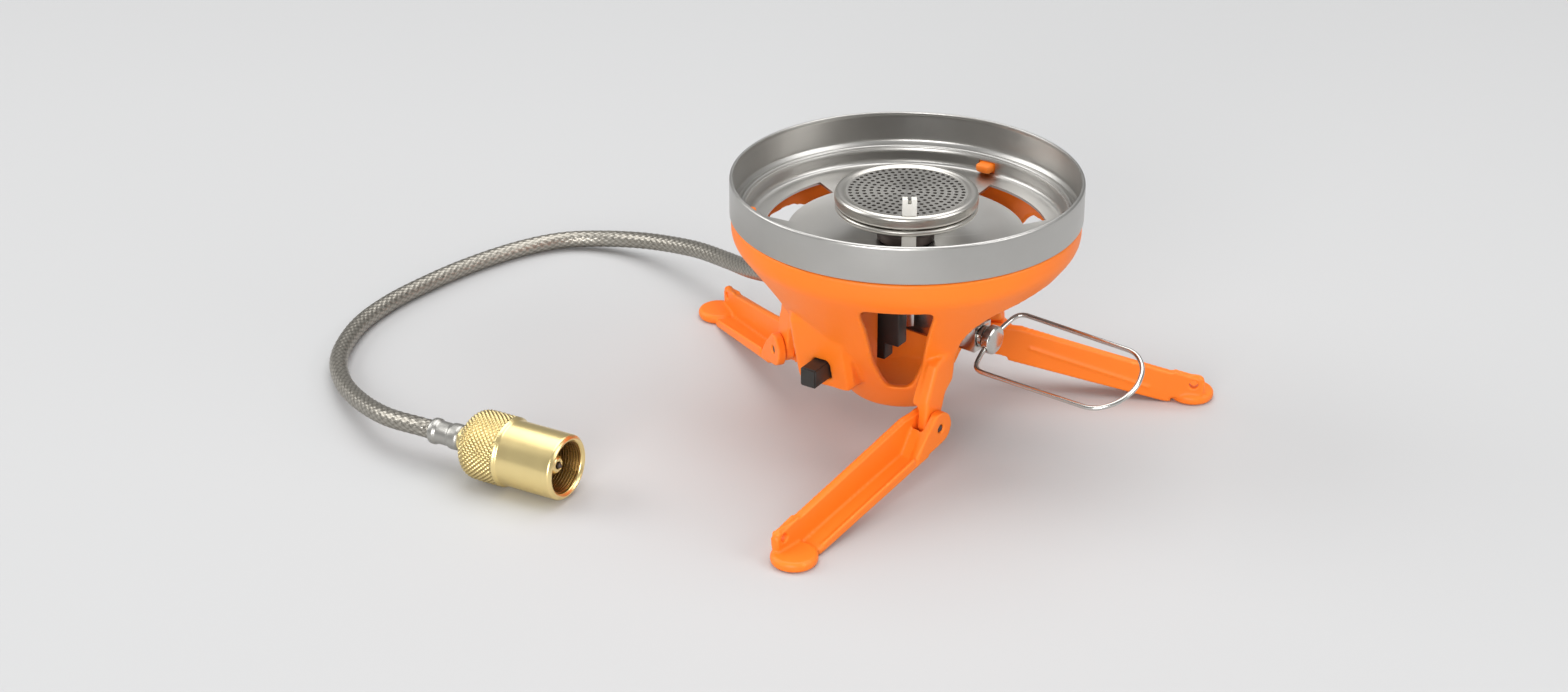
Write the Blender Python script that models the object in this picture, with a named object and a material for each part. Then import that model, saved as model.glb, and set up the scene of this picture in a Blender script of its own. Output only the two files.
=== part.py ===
"""Folding canister stove with a remote fuel hose.

One named object for each physical piece.  The origin lies on the burner's axis, at the flat
underside of the casing's cup.  +Z points up, and +X runs along the valve stem to its wire handle.
"""

import math

import bmesh
import bpy
import numpy as np
from mathutils import Matrix, Vector

MM = 0.001
GAP = 0.3 * MM                      # clearance left between pieces that touch

# ---------------------------------------------------------------- pot ring
RING_R = 54.0 * MM                  # outer radius of the steel pot ring
RING_TOP_Z = 71.0 * MM
RING_LEDGE_Z = 60.0 * MM            # top of the ledge that a pot's skirt rests on
RING_WELL_R = 50.0 * MM             # outer radius of the lower wall
RING_WELL_Z = 54.6 * MM             # top of the floor, at its outer edge
RING_FLOOR_Z = 50.0 * MM            # top of the floor, at the burner's neck
RING_SHEET = 0.8 * MM
RING_BEAD_R = 0.75 * MM             # rolled bead round the ledge
FLOOR_HOLE_R = 8.4 * MM
SLOT_INNER_R = 36.5 * MM
SLOT_OUTER_R = 43.5 * MM
SLOT_AZIMUTHS = (67.0, 187.0, 307.0)
SLOT_HALF_ANGLE = 21.5
TAB_AZIMUTHS = (95.0, 215.0, 335.0)  # casing tabs that lock the ring

# ---------------------------------------------------------------- casing
WALL = 2.2 * MM
SKIRT_R = 53.6 * MM
SKIRT_LOW_Z = 53.0 * MM             # where the straight skirt ends and the funnel starts
CUP_R = 16.0 * MM
CUP_FLOOR = 2.2 * MM
FUNNEL = ((40.6 * MM, 35.0 * MM), (34.8 * MM, 25.0 * MM), (25.0 * MM, 11.0 * MM))  # (radius, height)
WINDOW_SILLS = {                    # middle of each open side: (height, half angle) from its sill up
    144.0: ((14.0 * MM, 30.0), (17.0 * MM, 44.0), (24.0 * MM, 51.0)),
    24.0: ((-1.0 * MM, 38.0), (6.0 * MM, 42.0), (10.0 * MM, 44.0), (20.0 * MM, 51.0)),
}
WINDOW_HALF_ANGLE = 51.0
WINDOW_TOP_Z = 46.0 * MM
FRONT_WINDOW_AZIMUTH = 303.0
CUTTER_INNER_R = 10.5 * MM          # the window cutters reach from here past the skirt

# ---------------------------------------------------------------- legs
LEG_OFFSET = 29.5 * MM              # leg centre plane to the burner axis
LEG_AZIMUTHS = {"rear": 149.1, "front": 269.1, "right": 29.1}   # directions they point in
HINGE_ALONG = 25.5 * MM             # hinge pin along the leg's own direction
HINGE_Z = 5.9 * MM
FLOOR_Z = -12.0 * MM                # what the open stove stands on
LEG_REACH = 71.5 * MM               # hinge pin to the end of the foot
FLANGE_W = 9.4 * MM
FLANGE_T = 2.2 * MM
TONGUE_T = 3.4 * MM
PIN_R = 1.25 * MM
PIN_CLEARANCE = 0.15 * MM
LUG_T = 2.7 * MM
LUG_R = 5.2 * MM
FOOT_W = 14.0 * MM
FOOT_LENGTH = 14.0 * MM
FOOT_SIDE = 1.0 * MM                # foot's middle, outward of the leg's centre plane
EAR_HOLE_R = 1.4 * MM

# ---------------------------------------------------------------- burner
HEAD_R = 22.0 * MM
HEAD_TOP_Z = 66.4 * MM
HEAD_PLATE_R = 18.6 * MM
HEAD_H = 4.2 * MM
CUP_H = 5.6 * MM
NECK_R = 7.6 * MM
TUBE_R = 6.6 * MM
AIR_HOLE_R = 2.1 * MM
AIR_HOLE_UP = 9.5 * MM              # air holes above the tube's lower end
NUT_R = 10.5 * MM
NUT_H = 3.2 * MM

# ---------------------------------------------------------------- valve
STEM_Z = 25.8 * MM
VALVE_SIDE = 8.2 * MM
VALVE_END_X = 29.8 * MM
VALVE_BACK_X = -16.0 * MM
VALVE_SEAT_R = 8.0 * MM             # round seat under the mixing tube
STEM_R = 1.6 * MM
STEM_SEAT_X = 4.0 * MM
GLAND_BORE_R = 2.9 * MM             # pocket in the valve body for the seal and the gland
GLAND_BORE_L = 6.5 * MM
GLAND_R = 3.5 * MM
GLAND_FLANGE = 1.2 * MM
SEAL_L = 2.0 * MM
DISC_X = 33.4 * MM                  # middle of the stem's flat end, where the handle pivots
DISC_T = 3.0 * MM
DISC_ALONG = 4.5 * MM               # half the disc's height, along the handle's pivot
DISC_ACROSS = 4.4 * MM
JET_R = 3.0 * MM
JET_H = 7.0 * MM
SCREW_R = 1.3 * MM
SCREW_X = 22.0 * MM
INLET_R = 5.6 * MM
INLET_L = 6.0 * MM

# ---------------------------------------------------------------- wire handle
WIRE_R = 0.75 * MM
HANDLE_ROLL = 23.0                  # the handle's plane, turned about the stem, in degrees
HANDLE_PIVOT = 2.6 * MM             # stem axis to each end of the wire
HANDLE_HALF_W = 12.9 * MM
HANDLE_ELBOW = 1.6 * MM
HANDLE_ARM = 44.0 * MM
HANDLE_TIP = 51.5 * MM

# ---------------------------------------------------------------- igniter
BUTTON_AZIMUTH = 276.2              # direction that the button sticks out in
IGNITER_SIDE = -9.0 * MM            # its centre plane, to the right of the burner axis
HOUSING_FACE = 33.0 * MM            # burner axis to the housing's flat face
HOUSING_W = 20.4 * MM
HOUSING_LOW_Z = 10.6 * MM
HOUSING_TOP_Z = 37.0 * MM
HOUSING_LEAN = 5.4 * MM              # how far the face's top stands out past its middle
BUTTON_W = 5.5 * MM
BUTTON_H = 6.2 * MM
BUTTON_OUT = 8.8 * MM
BUTTON_Z = 17.2 * MM
BUTTON_TRAVEL = 5.0 * MM
BUTTON_IN = 5.0 * MM                # length of the button behind the housing's face
MODULE_W = 8.0 * MM
MODULE_LOW_Z = 12.9 * MM
MODULE_TOP_Z = 26.4 * MM
MODULE_BACK = 9.0 * MM              # burner axis to the module's inner end
MODULE_HEAD_T = 5.0 * MM            # stepped head on the inner end, towards the front window
MODULE_HEAD_STEPS = ((10.5 * MM, 15.0 * MM, 20.5 * MM), (15.3 * MM, 20.5 * MM, 31.0 * MM))
LEAD_R = 0.9 * MM
INSULATOR_AZIMUTH = 309.0
INSULATOR_AT = 19.2 * MM
INSULATOR_W = 4.3 * MM
INSULATOR_T = 2.4 * MM
INSULATOR_TOP_Z = 71.6 * MM
INSULATOR_LOW_Z = 47.0 * MM
ELECTRODE_R = 0.45 * MM

# ---------------------------------------------------------------- hose and connector
HOSE_R = 3.0 * MM
FERRULE_R = 4.1 * MM
FERRULE_L = 11.0 * MM
NUT_AZIMUTH = 9.8                   # direction that the connector's bore opens in
CONNECTOR_AT = (-82.3 * MM, -111.5 * MM)
COLLAR_R = 10.9 * MM
COLLAR_L = 18.0 * MM
SLEEVE_R = 10.1 * MM
NUT_L = 37.5 * MM
BORE_R = 8.0 * MM
BORE_L = 26.0 * MM
CORE_R = 6.4 * MM
CORE_T = 4.0 * MM
SHANK_R = 4.0 * MM
NOZZLE_R = 3.0 * MM
NOZZLE_END = 34.0 * MM
VALVE_PIN_R = 0.9 * MM
SHANK_OUT = 0.4 * MM                # core's shank behind the nut
# Points that the hose passes through, in millimetres, from the valve's end to the nut's end.
HOSE_ROUTE = (
    (-54.0, 5.5, 20.0), (-75.0, 17.0, 11.5), (-96.0, 28.6, 5.0), (-115.0, 35.6, 1.0), (-131.5, 39.0, -2.5),
    (-147.0, 39.6, -5.5), (-162.5, 35.5, -7.8), (-174.0, 26.5, -8.7), (-181.0, 11.0, -9.0),
    (-184.5, -10.0, -9.0), (-185.0, -30.0, -9.0), (-183.5, -49.0, -9.0), (-178.0, -68.0, -8.9),
    (-166.0, -87.0, -8.6), (-151.0, -99.5, -7.8), (-133.0, -108.5, -5.6),
    (-114.0, -114.5, -2.6),
)


# ================================================================ helpers
def clear_scene():
    """Remove every object that is in the scene."""
    for thing in list(bpy.data.objects):
        bpy.data.objects.remove(thing, do_unlink=True)


def material(name, colour, roughness, metallic):
    """A plain Principled material."""
    shader = bpy.data.materials.new(name)
    shader.use_nodes = True
    node = shader.node_tree.nodes["Principled BSDF"]
    node.inputs["Base Color"].default_value = (*colour, 1.0)
    node.inputs["Roughness"].default_value = roughness
    node.inputs["Metallic"].default_value = metallic
    return shader


def add_object(name, shape, finish):
    """Link a bmesh as a named object, smooth except at its real edges."""
    bmesh.ops.recalc_face_normals(shape, faces=shape.faces)
    mesh = bpy.data.meshes.new(name)
    shape.to_mesh(mesh)
    shape.free()
    mesh.shade_smooth()
    mesh.set_sharp_from_angle(angle=math.radians(35))
    thing = bpy.data.objects.new(name, mesh)
    bpy.context.scene.collection.objects.link(thing)
    if finish is not None:
        mesh.materials.append(finish)
    return thing


def rings_to_faces(shape, rings, closed):
    """Bridge equal rings of vertices; closed also joins the last ring to the first."""
    count = len(rings)
    for i in range(count if closed else count - 1):
        low, high = rings[i], rings[(i + 1) % count]
        size = len(low)
        for j in range(size):
            k = (j + 1) % size
            shape.faces.new((low[j], low[k], high[k], high[j]))


def turned(profile, steps=48, ring=True):
    """Solid of revolution about Z from (radius, height) points.

    A ring is a closed outline clear of the axis; otherwise both ends get flat caps.
    """
    shape = bmesh.new()
    rings = []
    for radius, height in profile:
        rings.append([
            shape.verts.new((radius * math.cos(t), radius * math.sin(t), height))
            for t in np.linspace(0.0, 2.0 * math.pi, steps, endpoint=False)
        ])
    rings_to_faces(shape, rings, closed=ring)
    if not ring:
        shape.faces.new(rings[0])
        shape.faces.new(rings[-1])
    return shape


def turned_solid(profile, steps=48):
    """Solid of revolution whose outline runs from one flat end to the other."""
    return turned(profile, steps, ring=False)


def block(size, centre=(0.0, 0.0, 0.0)):
    """Box of the given size."""
    shape = bmesh.new()
    bmesh.ops.create_cube(shape, size=1.0)
    bmesh.ops.scale(shape, vec=size, verts=shape.verts)
    bmesh.ops.translate(shape, vec=centre, verts=shape.verts)
    return shape


def rounded_block(size, centre, bevel, segments=2):
    """Box with all of its edges rounded."""
    shape = block(size, centre)
    bmesh.ops.bevel(shape, geom=shape.edges[:], offset=bevel, segments=segments, affect="EDGES")
    return shape


def prism(outline, low, high):
    """Straight extrusion along Y of an outline given as (x, z) points."""
    shape = bmesh.new()
    rings = [[shape.verts.new((x, y, z)) for x, z in outline] for y in (low, high)]
    rings_to_faces(shape, rings, closed=False)
    shape.faces.new(rings[0])
    shape.faces.new(rings[1])
    return shape


def arc(centre, radius, start, end, count):
    """Points on an arc, as (x, z) pairs; the angles are in degrees."""
    turns = np.radians(np.linspace(start, end, count))
    return [(centre[0] + radius * math.cos(t), centre[1] + radius * math.sin(t)) for t in turns]


def along(direction):
    """Matrix that turns +Z to the given direction."""
    return Vector(direction).to_track_quat("Z", "Y").to_matrix().to_4x4()


def place(shape, matrix):
    """Move a bmesh by a matrix and give it back."""
    bmesh.ops.transform(shape, matrix=matrix, verts=shape.verts)
    return shape


def combine(target, other, operation):
    """Apply one exact Boolean, and remove the second object."""
    other.display_type = "WIRE"
    other.hide_render = True
    modifier = target.modifiers.new(operation.title(), "BOOLEAN")
    modifier.operation = operation
    modifier.solver = "EXACT"
    modifier.object = other
    bpy.context.view_layer.update()
    depsgraph = bpy.context.evaluated_depsgraph_get()
    mesh = bpy.data.meshes.new_from_object(target.evaluated_get(depsgraph))
    target.modifiers.clear()
    old = target.data
    target.data = mesh
    bpy.data.meshes.remove(old)
    mesh.name = target.name
    bpy.data.objects.remove(other, do_unlink=True)
    mesh.set_sharp_from_angle(angle=math.radians(35))


def cut(target, shape):
    """Take a bmesh away from an object."""
    combine(target, add_object("cutter", shape, None), "DIFFERENCE")


def join(target, shape):
    """Add an overlapping bmesh to an object."""
    combine(target, add_object("addition", shape, None), "UNION")


def set_origin(thing, point):
    """Put an object's origin on a point without moving its mesh."""
    thing.data.transform(Matrix.Translation(-Vector(point)))
    thing.location = point


def polar(azimuth, radius, height=0.0):
    """Point at an azimuth in degrees round the burner axis."""
    turn = math.radians(azimuth)
    return Vector((radius * math.cos(turn), radius * math.sin(turn), height))


def smooth_points(points, spacing):
    """Even points on a Catmull-Rom curve through the given points."""
    knots = [Vector(p) for p in points]
    knots = [2 * knots[0] - knots[1], *knots, 2 * knots[-1] - knots[-2]]
    fine = []
    for i in range(1, len(knots) - 2):
        a, b, c, d = knots[i - 1:i + 3]
        for t in np.linspace(0.0, 1.0, 24, endpoint=False):
            fine.append(0.5 * (2 * b + (c - a) * t + (2 * a - 5 * b + 4 * c - d) * t ** 2
                               + (3 * b - a - 3 * c + d) * t ** 3))
    fine.append(knots[-2])
    fine = np.array([tuple(p) for p in fine])
    run = np.concatenate(([0.0], np.cumsum(np.linalg.norm(np.diff(fine, axis=0), axis=1))))
    count = max(2, round(run[-1] / spacing) + 1)
    even = np.linspace(0.0, run[-1], count)
    return np.stack([np.interp(even, run, fine[:, k]) for k in range(3)], axis=1)


def tube(name, points, radius, finish, resolution=2):
    """Round wire or hose through the points, with closed ends."""
    curve = bpy.data.curves.new(name, "CURVE")
    curve.dimensions = "3D"
    curve.bevel_depth = radius
    curve.bevel_resolution = resolution
    curve.use_fill_caps = True
    spline = curve.splines.new("POLY")
    spline.points.add(len(points) - 1)
    for point, value in zip(spline.points, points):
        point.co = (*value, 1.0)
    curve.materials.append(finish)
    thing = bpy.data.objects.new(name, curve)
    bpy.context.scene.collection.objects.link(thing)
    return thing


# ================================================================ pot ring
def pot_ring(steel):
    """Stamped ring and floor: rim, ledge with a bead, lower wall, slotted floor."""
    t = RING_SHEET
    inner = RING_R - t
    well = RING_WELL_R - t
    outline = [
        (RING_R, RING_TOP_Z - 0.3 * MM), (RING_R - 0.3 * MM, RING_TOP_Z),
        (inner - 0.2 * MM, RING_TOP_Z), (inner - 0.2 * MM, RING_TOP_Z - 0.8 * MM),
        (inner, RING_TOP_Z - 1.2 * MM), (inner, RING_LEDGE_Z + 1.2 * MM),
    ]
    bead = (well + RING_BEAD_R + 0.6 * MM, RING_LEDGE_Z)
    outline += [(inner - 0.8 * MM, RING_LEDGE_Z)]
    outline += arc(bead, RING_BEAD_R, 0, 180, 5)
    outline += [(well, RING_LEDGE_Z - 0.8 * MM), (well, RING_WELL_Z + 1.6 * MM)]
    outline += [(well - 0.5 * MM, RING_WELL_Z + 0.4 * MM), (well - 1.6 * MM, RING_WELL_Z)]
    outline += [(SLOT_OUTER_R + 1.5 * MM, RING_WELL_Z - 0.3 * MM)]
    outline += [(22.0 * MM, RING_FLOOR_Z + 0.5 * MM), (FLOOR_HOLE_R, RING_FLOOR_Z)]
    outline += [(FLOOR_HOLE_R, RING_FLOOR_Z - t), (22.0 * MM, RING_FLOOR_Z + 0.5 * MM - t)]
    outline += [(SLOT_OUTER_R + 1.6 * MM, RING_WELL_Z - 0.3 * MM - t)]
    outline += [(RING_WELL_R - 1.4 * MM, RING_WELL_Z - t), (RING_WELL_R, RING_WELL_Z + 1.0 * MM)]
    outline += [(RING_WELL_R, RING_LEDGE_Z - t), (RING_R - 0.4 * MM, RING_LEDGE_Z - t)]
    outline += [(RING_R, RING_LEDGE_Z - t + 0.4 * MM)]
    ring = add_object("pot_ring", turned(outline, 60), steel)
    for azimuth in SLOT_AZIMUTHS:
        cut(ring, slot_cutter(azimuth, SLOT_INNER_R, SLOT_OUTER_R, SLOT_HALF_ANGLE,
                              RING_FLOOR_Z - 3 * MM, RING_WELL_Z + 4 * MM, 8))
    for azimuth in TAB_AZIMUTHS:
        cut(ring, tab_shape(azimuth, GAP))
    return ring


def slot_cutter(azimuth, inner, outer, half_angle, low, high, steps):
    """Ring sector with flat ends."""
    shape = bmesh.new()
    rings = []
    for angle in np.linspace(azimuth - half_angle, azimuth + half_angle, steps):
        corners = ((inner, low), (outer, low), (outer, high), (inner, high))
        rings.append([shape.verts.new(polar(angle, r, z)) for r, z in corners])
    rings_to_faces(shape, rings, closed=False)
    shape.faces.new(rings[0])
    shape.faces.new(rings[-1])
    return shape


def tab_shape(azimuth, extra):
    """Locking tab that reaches through the ring's lower wall."""
    depth = RING_SHEET + 4.2 * MM
    radius = RING_WELL_R + 1.0 * MM - depth / 2
    size = (depth + 2 * extra, 5.4 * MM + 2 * extra, 3.0 * MM + 2 * extra)
    shape = rounded_block(size, (0, 0, 0), 0.5 * MM, 1)
    matrix = (Matrix.Translation(polar(azimuth, radius, RING_LEDGE_Z - 3.0 * MM))
              @ Matrix.Rotation(math.radians(azimuth), 4, "Z"))
    return place(shape, matrix)


# ================================================================ casing
def casing_outline():
    """Outer (radius, height) outline of the funnel, from the top rim to the cup's underside."""
    rim_z = RING_LEDGE_Z - RING_SHEET - GAP
    points = [(SKIRT_R, rim_z), (SKIRT_R, SKIRT_LOW_Z + 1.0 * MM)]
    points += [(SKIRT_R - 0.9 * MM, SKIRT_LOW_Z - 1.8 * MM)]
    points += [(SKIRT_R - 4.6 * MM, SKIRT_LOW_Z - 6.6 * MM), *FUNNEL]
    points += [(CUP_R + 3.0 * MM, 3.0 * MM), (CUP_R + 1.4 * MM, 1.0 * MM), (CUP_R, 0.0)]
    return points


def casing(plastic):
    """Funnel casing with three windows, igniter housing, leg tongues and locking tabs."""
    outer = casing_outline()
    inner = [(CUP_R - 1.2 * MM, CUP_FLOOR), (CUP_R + 1.2 * MM, 4.0 * MM)]
    inner += [(radius - WALL, height + WALL / 2) for radius, height in FUNNEL[::-1]]
    inner += [(SKIRT_R - 5.0 * MM - WALL, SKIRT_LOW_Z - 7.4 * MM)]
    inner += [(RING_WELL_R + GAP, SKIRT_LOW_Z - 1.0 * MM), (RING_WELL_R + GAP, outer[0][1])]
    shape = bmesh.new()
    rings = []
    for radius, height in outer + inner:
        rings.append([
            shape.verts.new(polar(a, radius, height)) for a in np.arange(0, 360, 6)
        ])
    rings_to_faces(shape, rings, closed=False)
    rings_to_faces(shape, [rings[-1], rings[0]], closed=False)
    shape.faces.ensure_lookup_table()
    bottom = len(outer) - 1
    for face in list(shape.faces):
        if all(v in rings[bottom] or v in rings[bottom + 1] for v in face.verts):
            shape.faces.remove(face)
    shape.faces.new(rings[bottom])
    shape.faces.new(rings[bottom + 1])
    body = add_object("casing", shape, plastic)
    for azimuth, sill in WINDOW_SILLS.items():
        cut(body, window_cutter(azimuth, sill))
    cut(body, front_window_cutter())
    join(body, igniter_housing())
    cut_igniter_pocket(body)
    for azimuth in LEG_AZIMUTHS.values():
        join(body, arm_shape(azimuth))
        join(body, tongue_shape(azimuth))
        cut(body, pin_bore(azimuth))
    for azimuth in TAB_AZIMUTHS:
        join(body, tab_shape(azimuth, 0.0))
    return body


def window_cutter(azimuth, sill):
    """Arched opening between two pillars, whose far top corner reaches higher."""
    half, top = WINDOW_HALF_ANGLE, WINDOW_TOP_Z
    rows = [(height, -turn, turn) for height, turn in sill]
    rows += [(top - 10 * MM, -half, half), (top - 5 * MM, 8.0 - half, half - 1.0)]
    rows += [(top - 1.5 * MM, 21.0 - half, half - 2.0), (top - 0.6 * MM, 31.0 - half, half - 3.0)]
    rows += [(top, half - 24.0, half - 3.0), (top + 1.3 * MM, half - 21.0, half - 5.0)]
    shape = bmesh.new()
    rings = []
    for height, left, right in rows:
        near = [shape.verts.new(polar(azimuth + a, CUTTER_INNER_R, height))
                for a in np.linspace(left, right, 13)]
        far = [shape.verts.new(polar(azimuth + a, 1.3 * SKIRT_R, height))
               for a in np.linspace(right, left, 13)]
        rings.append(near + far)
    rings_to_faces(shape, rings, closed=False)
    for ring in (rings[0], rings[-1]):
        for j in range(12):
            shape.faces.new((ring[j], ring[j + 1], ring[24 - j], ring[25 - j]))
    return shape


def front_window_cutter():
    """Smaller tapered window beside the igniter housing."""
    rows = ((11.5 * MM, -6.0, 8.0), (15.0 * MM, -11.0, 11.5), (WINDOW_TOP_Z - 4 * MM, -12.6, 13.5),
            (WINDOW_TOP_Z, -11.5, 12.0), (WINDOW_TOP_Z + 2 * MM, -8.0, 9.0))
    shape = bmesh.new()
    rings = []
    for height, left, right in rows:
        turns = np.linspace(FRONT_WINDOW_AZIMUTH + left, FRONT_WINDOW_AZIMUTH + right, 5)
        near = [shape.verts.new(polar(a, CUTTER_INNER_R, height)) for a in turns]
        far = [shape.verts.new(polar(a, 1.3 * SKIRT_R, height)) for a in turns[::-1]]
        rings.append(near + far)
    rings_to_faces(shape, rings, closed=False)
    for ring in (rings[0], rings[-1]):
        for j in range(4):
            shape.faces.new((ring[j], ring[j + 1], ring[8 - j], ring[9 - j]))
    return shape


def igniter_frame():
    """Matrix of the igniter: local +X out of the housing's face, local +Y to its left."""
    turn = Matrix.Rotation(math.radians(BUTTON_AZIMUTH), 4, "Z")
    return turn @ Matrix.Translation((0.0, IGNITER_SIDE, 0.0))


def igniter_housing():
    """Box with a flat face that leans out of the funnel."""
    back = HOUSING_FACE - 17.0 * MM
    outline = [(back, HOUSING_LOW_Z), (HOUSING_FACE - 0.8 * MM, HOUSING_LOW_Z)]
    outline += [(HOUSING_FACE + HOUSING_LEAN, HOUSING_TOP_Z - 3.5 * MM)]
    outline += [(HOUSING_FACE + HOUSING_LEAN - 2.0 * MM, HOUSING_TOP_Z), (back, HOUSING_TOP_Z)]
    return place(prism(outline, -HOUSING_W / 2, HOUSING_W / 2), igniter_frame())


def cut_igniter_pocket(body):
    """Hollow for the spark module, open to the casing's inside, and the button's hole."""
    low, high = MODULE_LOW_Z - GAP, MODULE_TOP_Z + GAP
    outer, inner = HOUSING_FACE - WALL, MODULE_BACK - GAP
    size = (outer - inner, MODULE_W + 2 * GAP, high - low)
    pocket = block(size, ((outer + inner) / 2, 0.0, (high + low) / 2))
    cut(body, place(pocket, igniter_frame()))
    size = (3 * WALL, BUTTON_W + 2 * GAP, BUTTON_H + 2 * GAP)
    hole = block(size, (HOUSING_FACE, 0.0, BUTTON_Z))
    cut(body, place(hole, igniter_frame()))


# ================================================================ legs
def leg_frame(azimuth):
    """Matrix of one leg: local +X to the foot, local +Y outward, origin on the hinge pin."""
    turn = Matrix.Rotation(math.radians(azimuth), 4, "Z")
    return turn @ Matrix.Translation((HINGE_ALONG, LEG_OFFSET, HINGE_Z))


def tongue_shape(azimuth):
    """Casing tongue that stands between a leg's two cheeks."""
    outline = [(-7.0 * MM, 21.0 * MM), (-6.0 * MM, 8.0 * MM)]
    outline += arc((0.0, 0.0), 3.8 * MM, 170, 370, 11)
    outline += [(3.2 * MM, 9.0 * MM), (-1.0 * MM, 19.5 * MM)]
    return place(prism(outline, -TONGUE_T / 2, TONGUE_T / 2), leg_frame(azimuth))


def arm_shape(azimuth):
    """Thicker arm that carries the tongue down from a pillar, above the leg."""
    low = LUG_R + 1.2 * MM
    outline = [(-2.5 * MM, 20.5 * MM), (2.6 * MM, low + 2.6 * MM), (3.0 * MM, low), (-3.5 * MM, low)]
    outline += [(-10.0 * MM, low + 5.6 * MM), (-11.0 * MM, 22.0 * MM)]
    return place(prism(outline, -4.4 * MM, TONGUE_T / 2 - 0.1 * MM), leg_frame(azimuth))


def pin_bore(azimuth):
    """Cutter for the hinge pin."""
    radius = PIN_R + PIN_CLEARANCE
    shape = turned_solid([(radius, -8 * MM), (radius, 8 * MM)], 20)
    return place(shape, leg_frame(azimuth) @ along((0, 1, 0)))


def leg(name, azimuth, plastic):
    """Tall web on a bottom flange, a lug and a cheek round the tongue, and an oval foot."""
    drop = FLOOR_Z - HINGE_Z
    inner = TONGUE_T / 2 + GAP
    outer = inner + LUG_T
    foot_x = LEG_REACH - FOOT_LENGTH / 2
    heel = foot_x - FOOT_LENGTH / 2
    toe = foot_x + 4.0 * MM
    ear_x = foot_x + 0.5 * MM
    ear_z = drop + 10.0 * MM
    under = -LUG_R - 0.1 * MM
    web = [(0.0, LUG_R), (9.0 * MM, LUG_R - 0.4 * MM), (heel, ear_z + 0.5 * MM)]
    web += [(heel + 1.5 * MM, ear_z), (toe - 2.5 * MM, ear_z)]
    web += arc((toe - 2.5 * MM, ear_z - 2.5 * MM), 2.5 * MM, 70, 0, 4)
    web += [(toe, drop + 1.0 * MM), (heel - 0.5 * MM, drop + 1.0 * MM), (0.0, -LUG_R)]
    web += arc((0.0, 0.0), LUG_R, 255, 105, 9)
    shape = add_object(name, prism(web, -outer, -inner), plastic)
    flange = [(LUG_R, under), (heel + 0.5 * MM, drop + FLANGE_T), (heel + 0.5 * MM, drop),
              (heel - 1.5 * MM, drop), (LUG_R, under - FLANGE_T)]
    join(shape, prism(flange, outer - FLANGE_W, outer))
    foot = turned_solid([(FOOT_W / 2 - 0.6 * MM, drop), (FOOT_W / 2, drop + 0.8 * MM),
                         (FOOT_W / 2, drop + 2.4 * MM), (FOOT_W / 2 - 0.8 * MM, drop + 3.2 * MM)],
                        32)
    join(shape, place(foot, Matrix.Translation((foot_x, FOOT_SIDE, 0.0))))
    lug = arc((0.0, 0.0), LUG_R, 60, 250, 10) + [(LUG_R + 2.8 * MM, under - FLANGE_T)]
    lug += [(LUG_R + 6.8 * MM, under - 0.9 * MM), (LUG_R + 1.8 * MM, 0.0)]
    join(shape, prism(lug, inner, outer))
    bridge_x = LUG_R + 1.0 * MM
    bridge = [(bridge_x, 1.0 * MM), (bridge_x, under - 1.7 * MM)]
    bridge += [(bridge_x + 5.8 * MM, under - 2.1 * MM)]
    join(shape, prism(bridge, -inner - 0.5 * MM, outer - 0.5 * MM))
    reach = 2 * FLANGE_W
    ear = turned_solid([(EAR_HOLE_R, -reach), (EAR_HOLE_R, reach)], 16)
    ear_hole = Matrix.Translation((ear_x, 0, ear_z - 3.1 * MM)) @ along((0, 1, 0))
    cut(shape, place(ear, ear_hole))
    radius = PIN_R + PIN_CLEARANCE
    bore = turned_solid([(radius, -reach), (radius, reach)], 20)
    cut(shape, place(bore, along((0, 1, 0))))
    shape.matrix_world = leg_frame(azimuth)
    return shape


def hinge_pin(name, azimuth, steel):
    """Steel pin through one leg's cheeks and the casing's tongue."""
    half = TONGUE_T / 2 + GAP + LUG_T - 0.4 * MM
    pin = turned_solid([(PIN_R - 0.25 * MM, -half), (PIN_R, -half + 0.3 * MM),
                        (PIN_R, half - 0.3 * MM), (PIN_R - 0.25 * MM, half)], 16)
    thing = add_object(name, place(pin, along((0, 1, 0))), steel)
    thing.matrix_world = leg_frame(azimuth)
    return thing


# ================================================================ burner
def burner_cap(steel):
    """Upper half of the head: a rolled rim round the plate that the gas burns on."""
    low = HEAD_TOP_Z - HEAD_H
    roll = 1.6 * MM
    outline = [(HEAD_R - 2.4 * MM, low), (HEAD_R - 0.6 * MM, low), (HEAD_R, low + 0.8 * MM)]
    outline += arc((HEAD_R - roll, HEAD_TOP_Z - roll), roll, 0, 90, 5)
    outline += [(HEAD_PLATE_R, HEAD_TOP_Z - 0.5 * MM)]
    outline += [(4.0 * MM, HEAD_TOP_Z - 0.4 * MM), (1.0 * MM, HEAD_TOP_Z - 0.4 * MM)]
    under = [(1.0 * MM, HEAD_TOP_Z - 1.5 * MM), (HEAD_R - 2.4 * MM, HEAD_TOP_Z - 1.7 * MM)]
    return add_object("burner_cap", turned_solid(under + outline, 36), steel)


def burner_cup(steel):
    """Lower half of the head, which narrows to the neck."""
    top = HEAD_TOP_Z - HEAD_H - GAP
    low = top - CUP_H
    bore = TUBE_R + GAP
    outline = [(HEAD_R - 0.6 * MM, top), (HEAD_R, top - 0.8 * MM), (HEAD_R - 0.5 * MM, top - 1.8 * MM)]
    outline += [(HEAD_R - 3.0 * MM, top - 3.0 * MM), (NECK_R + 4.0 * MM, low + 0.6 * MM)]
    outline += [(NECK_R + 1.2 * MM, low), (NECK_R + 1.2 * MM, RING_FLOOR_Z + GAP)]
    outline += [(bore, RING_FLOOR_Z + GAP), (bore, low + 1.2 * MM)]
    outline += [(NECK_R + 4.2 * MM, low + 1.8 * MM), (HEAD_R - 3.0 * MM, top - 1.8 * MM)]
    outline += [(HEAD_R - 2.4 * MM, top)]
    return add_object("burner_cup", turned(outline, 36), steel)


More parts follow.
